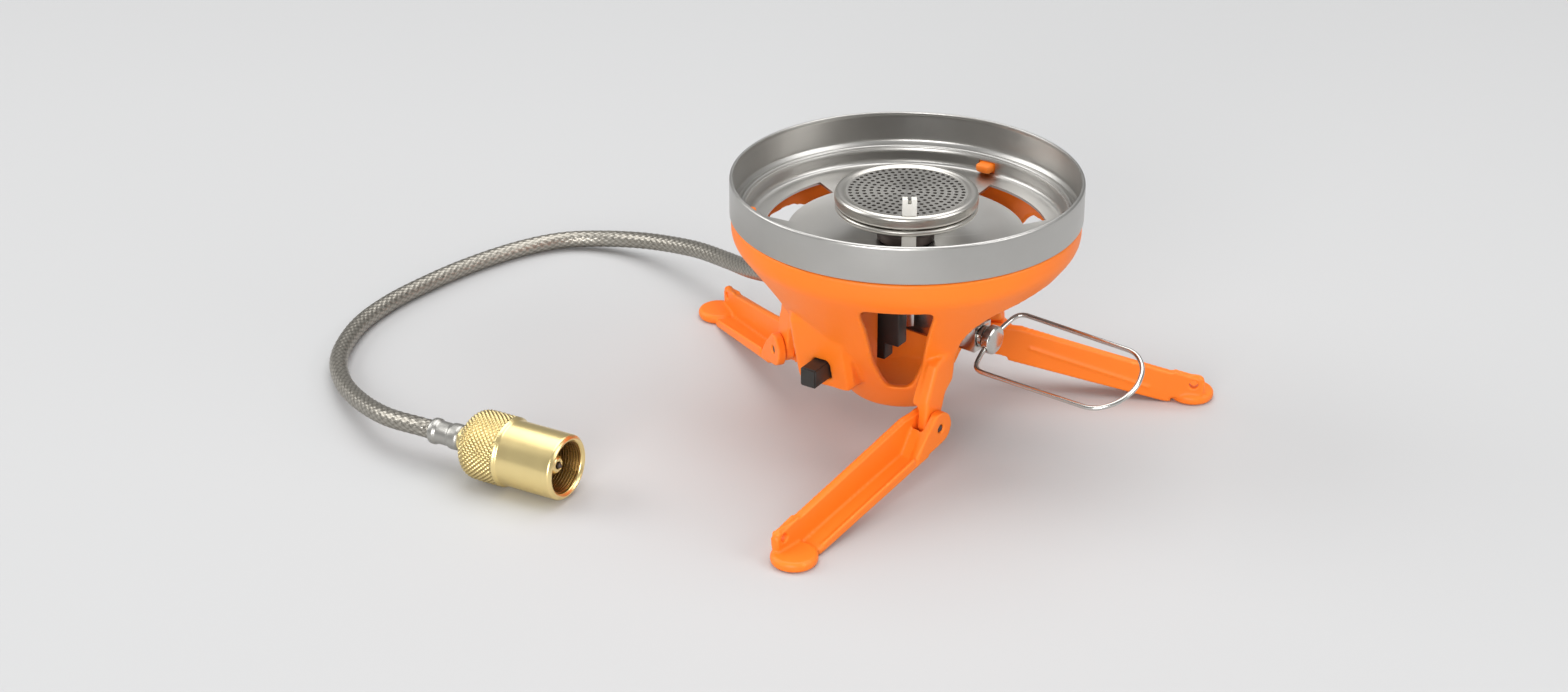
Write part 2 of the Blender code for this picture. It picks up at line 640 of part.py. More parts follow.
def mixing_tube(steel):
    """Tube from the jet to the head, with air holes above the jet and a threaded neck."""
    high = HEAD_TOP_Z - HEAD_H - CUP_H + 1.6 * MM
    low = STEM_Z + VALVE_SIDE / 2 + GAP
    wall = 1.1 * MM
    outline = [(TUBE_R, high), (TUBE_R, low), (TUBE_R - wall, low)]
    outline += [(TUBE_R - wall, high)]
    tube_object = add_object("mixing_tube", turned(outline, 32), steel)
    for azimuth in (30.0, 150.0, 270.0):
        hole = turned_solid([(AIR_HOLE_R, 0.0), (AIR_HOLE_R, 2 * TUBE_R)], 16)
        matrix = (Matrix.Translation((0, 0, low + AIR_HOLE_UP))
                  @ Matrix.Rotation(math.radians(azimuth), 4, "Z") @ along((1, 0, 0)))
        cut(tube_object, place(hole, matrix))
    return tube_object


def burner_nut(steel):
    """Hexagonal nut that clamps the ring's floor under the neck."""
    top = RING_FLOOR_Z - RING_SHEET - GAP
    low = top - NUT_H
    nut = add_object("burner_nut", turned_solid([(NUT_R, low), (NUT_R, top)], 6), steel)
    bore = TUBE_R + GAP
    cut(nut, turned_solid([(bore, low - 1 * MM), (bore, top + 1 * MM)], 32))
    return nut


def jet(brass):
    """Brass jet on the valve body, with its fine hole left to the surface work."""
    base = STEM_Z + VALVE_SIDE / 2 + GAP
    outline = [(JET_R, base), (JET_R, base + 3.2 * MM), (JET_R - 0.9 * MM, base + 4.0 * MM)]
    outline += [(JET_R - 1.2 * MM, base + JET_H), (0.4 * MM, base + JET_H)]
    return add_object("jet", turned_solid(outline, 24), brass)


def insulator_shape(extra):
    """Upright ceramic block at the head's rim."""
    size = (INSULATOR_T + 2 * extra, INSULATOR_W + 2 * extra, INSULATOR_TOP_Z - INSULATOR_LOW_Z)
    shape = block(size, (INSULATOR_AT, 0.0, (INSULATOR_TOP_Z + INSULATOR_LOW_Z) / 2))
    return place(shape, Matrix.Rotation(math.radians(INSULATOR_AZIMUTH), 4, "Z"))


def electrode_insulator(ceramic):
    """Ceramic block with a notch at its top and a bore for the electrode."""
    sleeve = add_object("electrode_insulator", insulator_shape(0.0), ceramic)
    turn = Matrix.Rotation(math.radians(INSULATOR_AZIMUTH), 4, "Z")
    notch = block((2 * INSULATOR_T, 1.1 * MM, 3.2 * MM), (INSULATOR_AT, 0.0, INSULATOR_TOP_Z))
    cut(sleeve, place(notch, turn))
    radius = ELECTRODE_R + GAP
    bore = turned_solid([(radius, INSULATOR_LOW_Z - 1 * MM), (radius, INSULATOR_TOP_Z)], 12)
    cut(sleeve, place(bore, Matrix.Translation(polar(INSULATOR_AZIMUTH, INSULATOR_AT))))
    return sleeve


def electrode(steel):
    """Wire in the insulator, which ends in the notch."""
    x, y = polar(INSULATOR_AZIMUTH, INSULATOR_AT).xy
    low, high = INSULATOR_LOW_Z - 1.5 * MM, INSULATOR_TOP_Z - 0.6 * MM
    return tube("electrode", [(x, y, low), (x, y, high)], ELECTRODE_R, steel, 1)


# ================================================================ igniter
def spark_module(black):
    """Spark generator behind the button, with the button's socket in its outer end."""
    outer = HOUSING_FACE - WALL - GAP
    size = (outer - MODULE_BACK, MODULE_W, MODULE_TOP_Z - MODULE_LOW_Z)
    centre = ((outer + MODULE_BACK) / 2, 0.0, (MODULE_TOP_Z + MODULE_LOW_Z) / 2)
    module = add_object("spark_module", block(size, centre), black)
    for side, low, high in MODULE_HEAD_STEPS:
        size = (MODULE_HEAD_T, side + MODULE_W / 2, high - low + GAP)
        centre = (MODULE_BACK + MODULE_HEAD_T / 2, (side - MODULE_W / 2) / 2, (high + low - GAP) / 2)
        join(module, block(size, centre))
    depth = BUTTON_IN + BUTTON_TRAVEL + GAP
    socket = block((2 * depth, BUTTON_W + 2 * GAP, BUTTON_H + 2 * GAP), (HOUSING_FACE, 0, BUTTON_Z))
    cut(module, socket)
    module.matrix_world = igniter_frame()
    return module


def igniter_button(black):
    """Square push button that slides into the spark module."""
    size = (BUTTON_OUT + BUTTON_IN, BUTTON_W, BUTTON_H)
    button = add_object("igniter_button",
                        rounded_block(size, ((BUTTON_OUT - BUTTON_IN) / 2, 0, 0), 0.4 * MM), black)
    button.matrix_world = igniter_frame() @ Matrix.Translation((HOUSING_FACE, 0.0, BUTTON_Z))
    return button


def ignition_lead(rubber):
    """Insulated wire from the spark module to the foot of the electrode."""
    start = igniter_frame() @ Vector((MODULE_BACK + MODULE_HEAD_T / 2, 0.0, MODULE_HEAD_STEPS[-1][2] + GAP))
    end = polar(INSULATOR_AZIMUTH, INSULATOR_AT, INSULATOR_LOW_Z - 1.5 * MM - GAP)
    rise = Vector((0.0, 0.0, 7 * MM))
    route = [start, start + rise, (start + end) / 2, end - rise, end]
    return tube("ignition_lead", smooth_points(route, 3 * MM), LEAD_R, rubber, 1)


# ================================================================ valve
def x_axis(x, height=STEM_Z):
    """Matrix that lays a piece turned about Z along +X, from the given x."""
    return Matrix.Translation((x, 0.0, height)) @ Matrix.Rotation(math.radians(90), 4, "Y")


def valve_body(brass):
    """Square brass bar under the burner, bored for the stem, with a seat for the tube."""
    length = VALVE_END_X - VALVE_BACK_X
    bar = block((length, VALVE_SIDE, VALVE_SIDE), (VALVE_BACK_X + length / 2, 0.0, STEM_Z))
    body = add_object("valve_body", bar, brass)
    top = STEM_Z + VALVE_SIDE / 2
    seat = turned_solid([(VALVE_SEAT_R, STEM_Z - 2 * MM), (VALVE_SEAT_R, top)], 32)
    join(body, seat)
    radius = STEM_R + GAP
    bore = turned_solid([(radius, 0.0), (radius, VALVE_END_X)], 24)
    cut(body, place(bore, x_axis(STEM_SEAT_X - GAP)))
    pocket = turned_solid([(GLAND_BORE_R, 0.0), (GLAND_BORE_R, 2 * GLAND_BORE_L)], 24)
    cut(body, place(pocket, x_axis(VALVE_END_X - GLAND_BORE_L)))
    recess = turned_solid([(SCREW_R + GAP, -1.0 * MM), (SCREW_R + GAP, 1.0 * MM)], 16)
    matrix = Matrix.Translation((SCREW_X, -VALVE_SIDE / 2, STEM_Z - 1.2 * MM))
    cut(body, place(recess, matrix @ along((0, -1, 0))))
    return body


def lock_screw(black):
    """Small slotted screw in the side of the valve body."""
    screw = turned_solid([(SCREW_R, -0.7 * MM), (SCREW_R, 0.2 * MM), (SCREW_R - 0.3 * MM, 0.5 * MM)],
                         16)
    matrix = Matrix.Translation((SCREW_X, -VALVE_SIDE / 2, STEM_Z - 1.2 * MM))
    thing = add_object("lock_screw", place(screw, matrix @ along((0, -1, 0))), black)
    slot = block((0.5 * MM, 1.0 * MM, 4 * SCREW_R),
                 (SCREW_X, -VALVE_SIDE / 2 - 0.6 * MM, STEM_Z - 1.2 * MM))
    cut(thing, slot)
    return thing


def valve_stem(steel):
    """Stem with a needle point; its outer end is held in the disc."""
    end = DISC_X - DISC_T / 2 + 1.5 * MM
    length = end - STEM_SEAT_X
    outline = [(0.3 * MM, 0.0), (STEM_R, 3.5 * MM), (STEM_R, length)]
    stem = add_object("valve_stem", place(turned_solid(outline, 20), x_axis(0.0, 0.0)), steel)
    stem.location = (STEM_SEAT_X, 0.0, STEM_Z)
    return stem


def stem_seal(rubber):
    """Round seal in the valve body's pocket."""
    inner, outer = STEM_R + GAP, GLAND_BORE_R - GAP
    ring = turned([(outer, 0.3 * MM), (outer - 0.3 * MM, 0.0), (inner, 0.0), (inner, SEAL_L),
                   (outer - 0.3 * MM, SEAL_L), (outer, SEAL_L - 0.3 * MM)][::-1], 24)
    return add_object("stem_seal", place(ring, x_axis(VALVE_END_X - GLAND_BORE_L + GAP)), rubber)


def stem_gland(brass):
    """Flanged gland that holds the seal in."""
    inner, outer = STEM_R + GAP, GLAND_BORE_R - GAP
    reach = GLAND_BORE_L - SEAL_L - 2 * GAP
    outline = [(inner, -reach), (outer, -reach), (outer, GAP), (GLAND_R, GAP)]
    outline += [(GLAND_R, GAP + GLAND_FLANGE), (inner, GAP + GLAND_FLANGE)]
    return add_object("stem_gland", place(turned(outline, 24), x_axis(VALVE_END_X)), brass)


def handle_frame():
    """Matrix of the stem's disc: local +X outward, local +Y along the handle's pivot."""
    return (Matrix.Translation((DISC_X, 0.0, STEM_Z))
            @ Matrix.Rotation(math.radians(HANDLE_ROLL), 4, "X"))


def stem_disc(steel):
    """Oval disc on the stem, bored for the stem and for the two ends of the wire."""
    shape = turned_solid([(0.86, -0.5), (1.0, -0.36), (1.0, 0.36), (0.86, 0.5)], 28)
    bmesh.ops.scale(shape, vec=(DISC_ACROSS, DISC_ALONG, DISC_T), verts=shape.verts)
    disc = add_object("stem_disc", place(shape, Matrix.Rotation(math.radians(90), 4, "Y")), steel)
    radius = STEM_R + GAP
    bore = turned_solid([(radius, -DISC_T), (radius, -DISC_T / 2 + 1.8 * MM)], 24)
    cut(disc, place(bore, x_axis(0.0, 0.0)))
    for side in (-1.0, 1.0):
        radius = WIRE_R + PIN_CLEARANCE
        hole = turned_solid([(radius, HANDLE_PIVOT - GAP), (radius, 3 * DISC_ALONG)], 16)
        cut(disc, place(hole, along((0, side, 0))))
    disc.matrix_world = handle_frame()
    return disc


def rounded_route(corners, radius, steps=4):
    """Points along straight runs whose corners are rounded."""
    corners = [Vector(c) for c in corners]
    route = [corners[0]]
    for before, corner, after in zip(corners, corners[1:], corners[2:]):
        back, ahead = (before - corner).normalized(), (after - corner).normalized()
        reach = min(radius / math.tan(back.angle(ahead) / 2), (before - corner).length / 2,
                    (after - corner).length / 2)
        for t in np.linspace(0.0, 1.0, steps):
            first = (1 - t) * (corner + back * reach) + t * corner
            second = (1 - t) * corner + t * (corner + ahead * reach)
            route.append((1 - t) * first + t * second)
    return [*route, corners[-1]]


def wire_handle(steel):
    """Folding wire handle, whose two ends turn in the disc."""
    half = [(0.0, HANDLE_PIVOT), (0.0, DISC_ALONG + 1.2 * MM), (HANDLE_ELBOW, HANDLE_HALF_W)]
    half += [(HANDLE_ARM, HANDLE_HALF_W - 0.5 * MM)]
    half += [(HANDLE_ARM + 0.72 * (HANDLE_TIP - HANDLE_ARM), HANDLE_HALF_W * 0.58)]
    corners = [(x, y, 0.0) for x, y in half] + [(HANDLE_TIP, 0.0, 0.0)]
    corners += [(x, -y, 0.0) for x, y in reversed(half)]
    handle = tube("wire_handle", rounded_route(corners, 3.0 * MM), WIRE_R, steel)
    handle.matrix_world = handle_frame()
    return handle


def hose_inlet(brass):
    """Hexagonal inlet fitting on the far end of the valve body."""
    shape = turned_solid([(INLET_R, GAP), (INLET_R, GAP + INLET_L)], 6)
    matrix = x_axis(VALVE_BACK_X) @ Matrix.Rotation(math.radians(180), 4, "Y")
    return add_object("hose_inlet", place(shape, matrix), brass)


def ferrule(name, steel):
    """Crimped sleeve, narrower where it is pressed on the hose; it runs along local -X."""
    outline = [(FERRULE_R - 0.5 * MM, 0.0), (FERRULE_R, 0.6 * MM), (FERRULE_R, 3.4 * MM)]
    outline += [(FERRULE_R - 0.5 * MM, 4.2 * MM), (FERRULE_R - 0.5 * MM, FERRULE_L - 2.6 * MM)]
    outline += [(FERRULE_R, FERRULE_L - 2.0 * MM), (FERRULE_R, FERRULE_L - 0.4 * MM)]
    outline += [(FERRULE_R - 0.4 * MM, FERRULE_L)]
    shape = turned_solid(outline, 24)
    return add_object(name, place(shape, Matrix.Rotation(math.radians(-90), 4, "Y")), steel)


# ================================================================ hose and connector
def connector_frame(x=0.0):
    """Matrix of the connector: local +X out of its bore, origin at the nut's back face."""
    height = FLOOR_Z + COLLAR_R
    return (Matrix.Translation((*CONNECTOR_AT, height))
            @ Matrix.Rotation(math.radians(NUT_AZIMUTH), 4, "Z") @ Matrix.Translation((x, 0, 0)))


def lathe_along_x(name, outline, finish, steps=48, ring=True):
    """Piece turned about +X from (radius, x) points."""
    shape = turned(outline, steps) if ring else turned_solid(outline, steps)
    return add_object(name, place(shape, Matrix.Rotation(math.radians(90), 4, "Y")), finish)


def connector_nut(brass):
    """Swivel nut: grip collar, sleeve and a wide bore with a shoulder for the core."""
    shoulder = NUT_L - BORE_L
    hole = SHANK_R + GAP
    outline = [(hole, 0.0), (COLLAR_R - 1.0 * MM, 0.0), (COLLAR_R, 1.0 * MM)]
    outline += [(COLLAR_R, COLLAR_L - 0.8 * MM), (SLEEVE_R, COLLAR_L), (SLEEVE_R, NUT_L - 0.8 * MM)]
    outline += [(SLEEVE_R - 0.8 * MM, NUT_L), (BORE_R + 0.6 * MM, NUT_L), (BORE_R, NUT_L - 0.6 * MM)]
    outline += [(BORE_R, shoulder), (hole, shoulder)]
    nut = lathe_along_x("connector_nut", outline, brass, 40)
    nut.matrix_world = connector_frame()
    return nut


def connector_core(brass):
    """Core with a shank through the nut, a shoulder and a nozzle bored for the pin."""
    back = NUT_L - BORE_L + GAP
    front = back + CORE_T
    bore = VALVE_PIN_R + GAP
    outline = [(SHANK_R, -SHANK_OUT), (SHANK_R, back), (CORE_R, back), (CORE_R, front)]
    outline += [(NOZZLE_R, front), (NOZZLE_R, NOZZLE_END - 1.0 * MM), (NOZZLE_R - 0.8 * MM, NOZZLE_END)]
    outline += [(bore, NOZZLE_END), (bore, front)]
    core = lathe_along_x("connector_core", outline, brass, 24, ring=False)
    core.matrix_world = connector_frame()
    return core


def connector_seal(rubber):
    """Washer seal on the core's shoulder."""
    low = NUT_L - BORE_L + CORE_T + 2 * GAP
    inner, outer = NOZZLE_R + GAP, CORE_R - 0.4 * MM
    seal = lathe_along_x("connector_seal", [(inner, low), (outer, low), (outer, low + 1.6 * MM),
                                            (inner, low + 1.6 * MM)], rubber, 32)
    seal.matrix_world = connector_frame()
    return seal


def valve_pin(steel):
    """Pin in the nozzle that opens the canister's valve."""
    low = NUT_L - BORE_L + CORE_T + GAP
    outline = [(VALVE_PIN_R, low), (VALVE_PIN_R, NOZZLE_END + 0.4 * MM)]
    outline += [(VALVE_PIN_R - 0.4 * MM, NOZZLE_END + 0.9 * MM)]
    pin = lathe_along_x("valve_pin", outline, steel, 16, ring=False)
    pin.matrix_world = connector_frame()
    return pin


def hose(braid):
    """Fuel hose, at its full length, from one ferrule to the other."""
    valve_end = x_axis(VALVE_BACK_X - INLET_L - FERRULE_L - 3 * GAP)
    nut_end = connector_frame(-SHANK_OUT - FERRULE_L - 2 * GAP)
    route = [valve_end @ Vector((0.0, 0.0, -x)) for x in (0.0, 2.5 * MM, 5 * MM)]
    route += [Vector(p) * MM for p in HOSE_ROUTE]
    route += [nut_end @ Vector((x, 0.0, 0.0)) for x in (-5 * MM, -2.5 * MM, 0.0)]
    return tube("hose", smooth_points(route, 5.2 * MM), HOSE_R, braid, 3)


# ================================================================ build
def build():
    """Make every piece of the stove."""
    clear_scene()
    steel = material("brushed_steel", (0.62, 0.61, 0.59), 0.32, 1.0)
    bright = material("bright_steel", (0.72, 0.72, 0.70), 0.22, 1.0)
    orange = material("orange_plastic", (0.90, 0.24, 0.03), 0.45, 0.0)
    black = material("black_plastic", (0.02, 0.02, 0.02), 0.40, 0.0)
    brass = material("brass", (0.80, 0.62, 0.24), 0.25, 1.0)
    ceramic = material("ceramic", (0.88, 0.86, 0.80), 0.35, 0.0)
    rubber = material("seal_rubber", (0.03, 0.03, 0.03), 0.70, 0.0)
    braid = material("braided_steel", (0.45, 0.44, 0.41), 0.38, 1.0)

    ring = pot_ring(steel)
    casing(orange)
    for name, azimuth in LEG_AZIMUTHS.items():
        leg(f"leg_{name}", azimuth, orange)
        hinge_pin(f"hinge_pin_{name}", azimuth, bright)

    cap = burner_cap(steel)
    cup = burner_cup(steel)
    mixing_tube(bright)
    burner_nut(bright)
    jet(brass)
    for piece in (ring, cap, cup):
        cut(piece, insulator_shape(GAP))
    electrode_insulator(ceramic)
    electrode(bright)
    spark_module(black)
    igniter_button(black)
    ignition_lead(rubber)

    valve_body(brass)
    lock_screw(black)
    valve_stem(bright)
    stem_seal(rubber)
    stem_gland(brass)
    stem_disc(bright)
    wire_handle(bright)
    hose_inlet(brass)

    ferrule("valve_ferrule", bright).location = (VALVE_BACK_X - INLET_L - 2 * GAP, 0.0, STEM_Z)
    hose(braid)
    ferrule("nut_ferrule", bright).matrix_world = connector_frame(-SHANK_OUT - GAP)
    connector_core(brass)
    connector_nut(brass)
    connector_seal(rubber)
    valve_pin(bright)


build()
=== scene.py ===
"""Studio model of a folding canister stove with a remote fuel hose.

Each sub-assembly is a class.  Its sizes are fields in millimetres, and its build method makes the
fine meshes, dresses them and hands them to the frame.  The origin lies on the burner's axis at the
underside of the casing's cup, +Z points up and +X runs along the valve stem to its wire handle.
"""

import logging
import math
from dataclasses import dataclass
from enum import Enum
from typing import Any, Sequence
import bmesh
import bpy
import numpy as np
from bmesh.types import BMesh
from bpy.types import Material, Mesh, NodeSocket, Object
from mathutils import Matrix, Vector


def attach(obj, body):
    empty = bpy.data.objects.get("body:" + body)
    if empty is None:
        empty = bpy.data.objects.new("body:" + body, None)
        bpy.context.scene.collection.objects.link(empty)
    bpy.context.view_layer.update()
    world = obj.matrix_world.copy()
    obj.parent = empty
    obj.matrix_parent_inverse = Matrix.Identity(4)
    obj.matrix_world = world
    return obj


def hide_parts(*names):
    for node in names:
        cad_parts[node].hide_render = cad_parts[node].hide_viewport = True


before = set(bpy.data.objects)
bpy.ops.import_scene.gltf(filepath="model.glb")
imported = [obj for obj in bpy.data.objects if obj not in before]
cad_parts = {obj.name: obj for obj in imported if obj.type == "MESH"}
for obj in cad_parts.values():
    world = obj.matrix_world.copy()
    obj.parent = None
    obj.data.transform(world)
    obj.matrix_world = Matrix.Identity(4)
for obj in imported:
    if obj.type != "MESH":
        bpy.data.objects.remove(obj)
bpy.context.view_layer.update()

MM = 0.001
FLOOR_Z = -12.0
GAP = 0.3
STEM_Z = 25.8
HINGE_Z = 5.9
LUG_R = 5.2
TONGUE_T = 3.4
TAB_AZIMUTHS = (95.0, 215.0, 335.0)
TAB_SIZE = (5.0, 5.4, 3.0)
TAB_TIP = (51.0, 57.0)
INSULATOR_AZIMUTH = 309.0
INSULATOR_R = 19.2
NUT_AZIMUTH = 9.8
CONNECTOR_AT = (-82.3, -111.5)
COLLAR_R = 10.9
SHANK_OUT = 0.4
LOG = logging.getLogger("stove")

Point2 = tuple[float, float]
Range = tuple[float, float]
Point3 = tuple[float, float, float]
Colour = tuple[float, float, float]


class Body(Enum):
    """The moving bodies of the stove."""

    STOVE = "stove"
    REAR_LEG = "rear_leg"
    FRONT_LEG = "front_leg"
    RIGHT_LEG = "right_leg"
    STEM = "stem"
    HANDLE = "handle"
    BUTTON = "button"
    NUT = "nut"


class Slot(Enum):
    """The record's material slots, which the finer pieces are handed with; nothing here reads them.
    """

    BRUSHED = "brushed_steel"
    BRIGHT = "bright_steel"
    ORANGE = "orange_plastic"
    BLACK = "black_plastic"
    BRASS = "brass"
    CERAMIC = "ceramic"
    BRAID = "braided_steel"


class Relief(Enum):
    """Patterns that can be sunk into a round surface."""

    KNURL = "knurl"
    BRAID = "braid"


# ---- node graphs
class Graph:
    """Writes nodes and links into one node tree."""

    def __init__(self, tree: bpy.types.NodeTree) -> None:
        """Starts with an emptied tree."""
        self.tree = tree
        self.tree.nodes.clear()

    def feed(self, node: bpy.types.Node, key: Any, value: Any) -> None:
        """Sets one input of a node.

        Args:
            node: The node.
            key: The input's name or index.
            value: A socket to link, or a value.
        """
        if isinstance(value, NodeSocket):
            self.tree.links.new(value, node.inputs[key])
        else:
            node.inputs[key].default_value = value

    def node(self, kind: str, inputs: dict[Any, Any] | None = None, **settings: Any) -> Any:
        """Adds one node.

        Args:
            kind: Blender's name of the node type.
            inputs: Values or sockets by input name or index.
            settings: Properties of the node.

        Returns:
            The new node.
        """
        made = self.tree.nodes.new(kind)
        for name, value in settings.items():
            setattr(made, name, value)
        for key, value in (inputs or {}).items():
            self.feed(made, key, value)
        return made

    def out(self, kind: str, inputs: dict[Any, Any] | None = None, **settings: Any) -> NodeSocket:
        """Adds one node and gives its first output."""
        return self.node(kind, inputs, **settings).outputs[0]

    def calc(self, operation: str, first: Any, second: Any = 0.0) -> NodeSocket:
        """Adds a Math node and gives its result."""
        return self.out("ShaderNodeMath", {0: first, 1: second}, operation=operation)

    def times(self, first: Any, second: Any) -> NodeSocket:
        """Multiplies."""
        return self.calc("MULTIPLY", first, second)

    def plus(self, first: Any, second: Any) -> NodeSocket:
        """Adds."""
        return self.calc("ADD", first, second)


class Dresser(Graph):
    """Writes the node graph of a material round one Principled shader."""

    def __init__(self, name: str) -> None:
        """Makes the material.

        Args:
            name: The material's name.
        """
        self.material = bpy.data.materials.new(name)
        self.material.use_nodes = True
        super().__init__(self.material.node_tree)
        self.shader = self.node("ShaderNodeBsdfPrincipled")
        self.node("ShaderNodeOutputMaterial", {"Surface": self.shader.outputs[0]})
        self.place = self.node("ShaderNodeTexCoord").outputs["Object"]

    def put(self, **values: Any) -> None:
        """Sets or links the shader's own inputs, by name with _ for a space."""
        for name, value in values.items():
            self.feed(self.shader, name.replace("_", " "), value)

    def noise(self, scale: float, detail: float = 3.0, at: Any = None) -> NodeSocket:
        """Adds a noise from 0 to 1, with its scale in features per metre."""
        inputs = {"Vector": at or self.place, "Scale": scale, "Detail": detail, "Roughness": 0.55}
        return self.out("ShaderNodeTexNoise", inputs)

    def span(self, value: Any, low: float, high: float, start: float = 0.0,
             end: float = 1.0) -> NodeSocket:
        """Maps the range from start to end onto the range from low to high."""
        inputs = {"Value": value, "From Min": start, "From Max": end, "To Min": low, "To Max": high}
        return self.out("ShaderNodeMapRange", inputs)

    def edges(self, low: float, high: float) -> NodeSocket:
        """Finds convex edges, between two values of pointiness, where edge highlights are painted.
        """
        shape = self.node("ShaderNodeNewGeometry").outputs["Pointiness"]
        return self.span(shape, 0.0, 1.0, low, high)

    def mix(self, factor: Any, first: Any, second: Any) -> NodeSocket:
        """Mixes two colours, by the share of the second."""
        ends = [(*c, 1.0) if isinstance(c, tuple) else c for c in (first, second)]
        return self.node("ShaderNodeMix", {0: factor, 6: ends[0], 7: ends[1]},
                         data_type="RGBA").outputs[2]

    def bump(self, height: Any, strength: float, depth: float, under: Any = None) -> NodeSocket:
        """Adds a bump, with its depth in metres, over another one."""
        inputs = {"Height": height, "Strength": strength, "Distance": depth}
        return self.out("ShaderNodeBump", inputs | ({"Normal": under} if under else {}))

    def lathe_lines(self, turn: Matrix | None, fine: float) -> NodeSocket:
        """Fine lines round an axis, as a lathe or a polishing wheel leaves them.

        Args:
            turn: Where the axis lies, or None for the burner's own axis along Z.
            fine: Lines per metre.

        Returns:
            The lines' height from 0 to 1.
        """
        at = self.place
        if turn is not None:
            back = turn.inverted()
            inputs = {"Vector": at, "Location": back.translation, "Rotation": back.to_euler("XYZ")}
            at = self.out("ShaderNodeMapping", inputs)
        x, y, z = self.node("ShaderNodeSeparateXYZ", {0: at}).outputs
        along, first, second = (z, x, y) if turn is None else (x, y, z)
        radius = self.calc("SQRT", self.plus(self.times(first, first), self.times(second, second)))
        return self.noise(fine, 4.0, self.out("ShaderNodeCombineXYZ", {0: radius, 1: along}))


# ---- finishes
@dataclass(frozen=True)
class Finish:
    """Bright drawn or ground metal, with the name, colours and roughness that any finish has."""

    name: str
    light: Colour
    dark: Colour
    roughness: Range = (0.14, 0.3)

    def make(self) -> Material:
        """Makes the material.

        Returns:
            The painted material.
        """
        dresser = Dresser(self.name)
        self.paint(dresser)
        return dresser.material

    def paint(self, d: Dresser) -> None:
        """Writes the graph.

        Args:
            d: What writes it.
        """
        grain, patch = d.noise(2400.0, 5.0), d.noise(140.0)
        d.put(Base_Color=d.mix(d.times(grain, patch), self.light, self.dark), Metallic=1.0,
              Roughness=d.span(patch, *self.roughness), Normal=d.bump(grain, 0.04, 0.00001))


@dataclass(frozen=True)
class SpunMetal(Finish):
    """Metal with fine lines round an axis, smudged and slightly uneven."""

    roughness: Range = (0.2, 0.36)
    lines: float = 2600.0
    depth: float = 0.00002
    anisotropy: float = 0.35
    turn: Matrix | None = None

    def paint(self, d: Dresser) -> None:
        """Writes the graph.

        Args:
            d: What writes it.
        """
        lines, broad = (d.lathe_lines(self.turn, self.lines / part) for part in (1.0, 9.0))
        smudge = d.noise(38.0, 4.0)
        tone = d.mix(d.times(lines, 0.35), d.mix(smudge, self.dark, self.light), self.dark)
        # Convex edges are mixed halfway towards the light colour: a painted edge highlight.
        dressed = d.mix(d.times(d.edges(0.52, 0.6), 0.5), tone, self.light)
        rough = d.plus(d.span(smudge, *self.roughness), d.times(broad, 0.08))
        d.put(Base_Color=dressed, Roughness=rough, Metallic=1.0, Anisotropic=self.anisotropy,
              Normal=d.bump(broad, 0.12, self.depth * 3, d.bump(lines, 0.25, self.depth)))
        if self.turn is None:
            d.put(Tangent=d.out("ShaderNodeTangent", direction_type="RADIAL", axis="Z"))


@dataclass(frozen=True)
class MouldedPlastic(Finish):
    """Satin moulded plastic with a fine spark-eroded grain and paler convex edges, a painted edge
    highlight broken up by scuff noise.
    """

    roughness: Range = (0.38, 0.52)
    edge_highlight: Colour = (1.0, 1.0, 1.0)
    grain: float = 3200.0
    glow: float = 0.0

    def paint(self, d: Dresser) -> None:
        """Writes the graph.

        Args:
            d: What writes it.
        """
        flow, speck, scuff = d.noise(24.0, 4.0), d.noise(self.grain), d.noise(420.0, 6.0)
        base = d.mix(d.span(flow, 0.0, 0.8), self.light, self.dark)
        # Convex edges mixed towards the paler colour are a painted edge highlight, broken up by
        # scuff noise.
        edge_highlight_mask = d.times(d.edges(0.51, 0.58), d.span(scuff, 0.15, 0.75))
        rough = d.span(d.plus(d.times(scuff, 0.6), d.times(flow, 0.4)), *self.roughness)
        d.put(Base_Color=d.mix(edge_highlight_mask, base, self.edge_highlight), Roughness=rough,
              Specular_IOR_Level=0.35,
              Normal=d.bump(scuff, 0.08, 0.0001, d.bump(speck, 0.3, 0.00004)))
        if self.glow > 0.0:
            d.put(Subsurface_Weight=self.glow, Subsurface_Radius=(1.0, 0.35, 0.12),
                  Subsurface_Scale=0.0025)


@dataclass(frozen=True)
class RaisedMetal(Finish):
    """Metal whose grooves, left by a knurl or between braided strands, are darker."""

    roughness: Range = (0.25, 0.5)
    wire: float = 5200.0

    def paint(self, d: Dresser) -> None:
        """Writes the graph.

        Args:
            d: What writes it.
        """
        height = d.node("ShaderNodeAttribute", attribute_name="relief").outputs["Fac"]
        shade = d.node("ShaderNodeValToRGB", {0: height})
        shade.color_ramp.elements.new(0.55).color = (0.7, 0.7, 0.7, 1.0)
        strands = d.noise(self.wire, 2.0)
        lit = d.mix(d.times(d.noise(60.0, 4.0), 0.5), self.light, self.dark)
        d.put(Base_Color=d.mix(shade.outputs[0], self.dark, lit), Metallic=1.0,
              Roughness=d.span(strands, *self.roughness), Normal=d.bump(strands, 0.35, 0.00004))


@dataclass(frozen=True)
class Dull(Finish):
    """Rubber or glazed ceramic: nearly even, with fine specks and faint stains."""

    speck: float = 1800.0

    def paint(self, d: Dresser) -> None:
        """Writes the graph.

        Args:
            d: What writes it.
        """
        patch, speck = d.noise(180.0, 5.0), d.noise(self.speck, 2.0)
        d.put(Base_Color=d.mix(d.calc("POWER", patch, 2.0), self.light, self.dark),
              Roughness=d.span(speck, *self.roughness), Normal=d.bump(speck, 0.2, 0.00003))


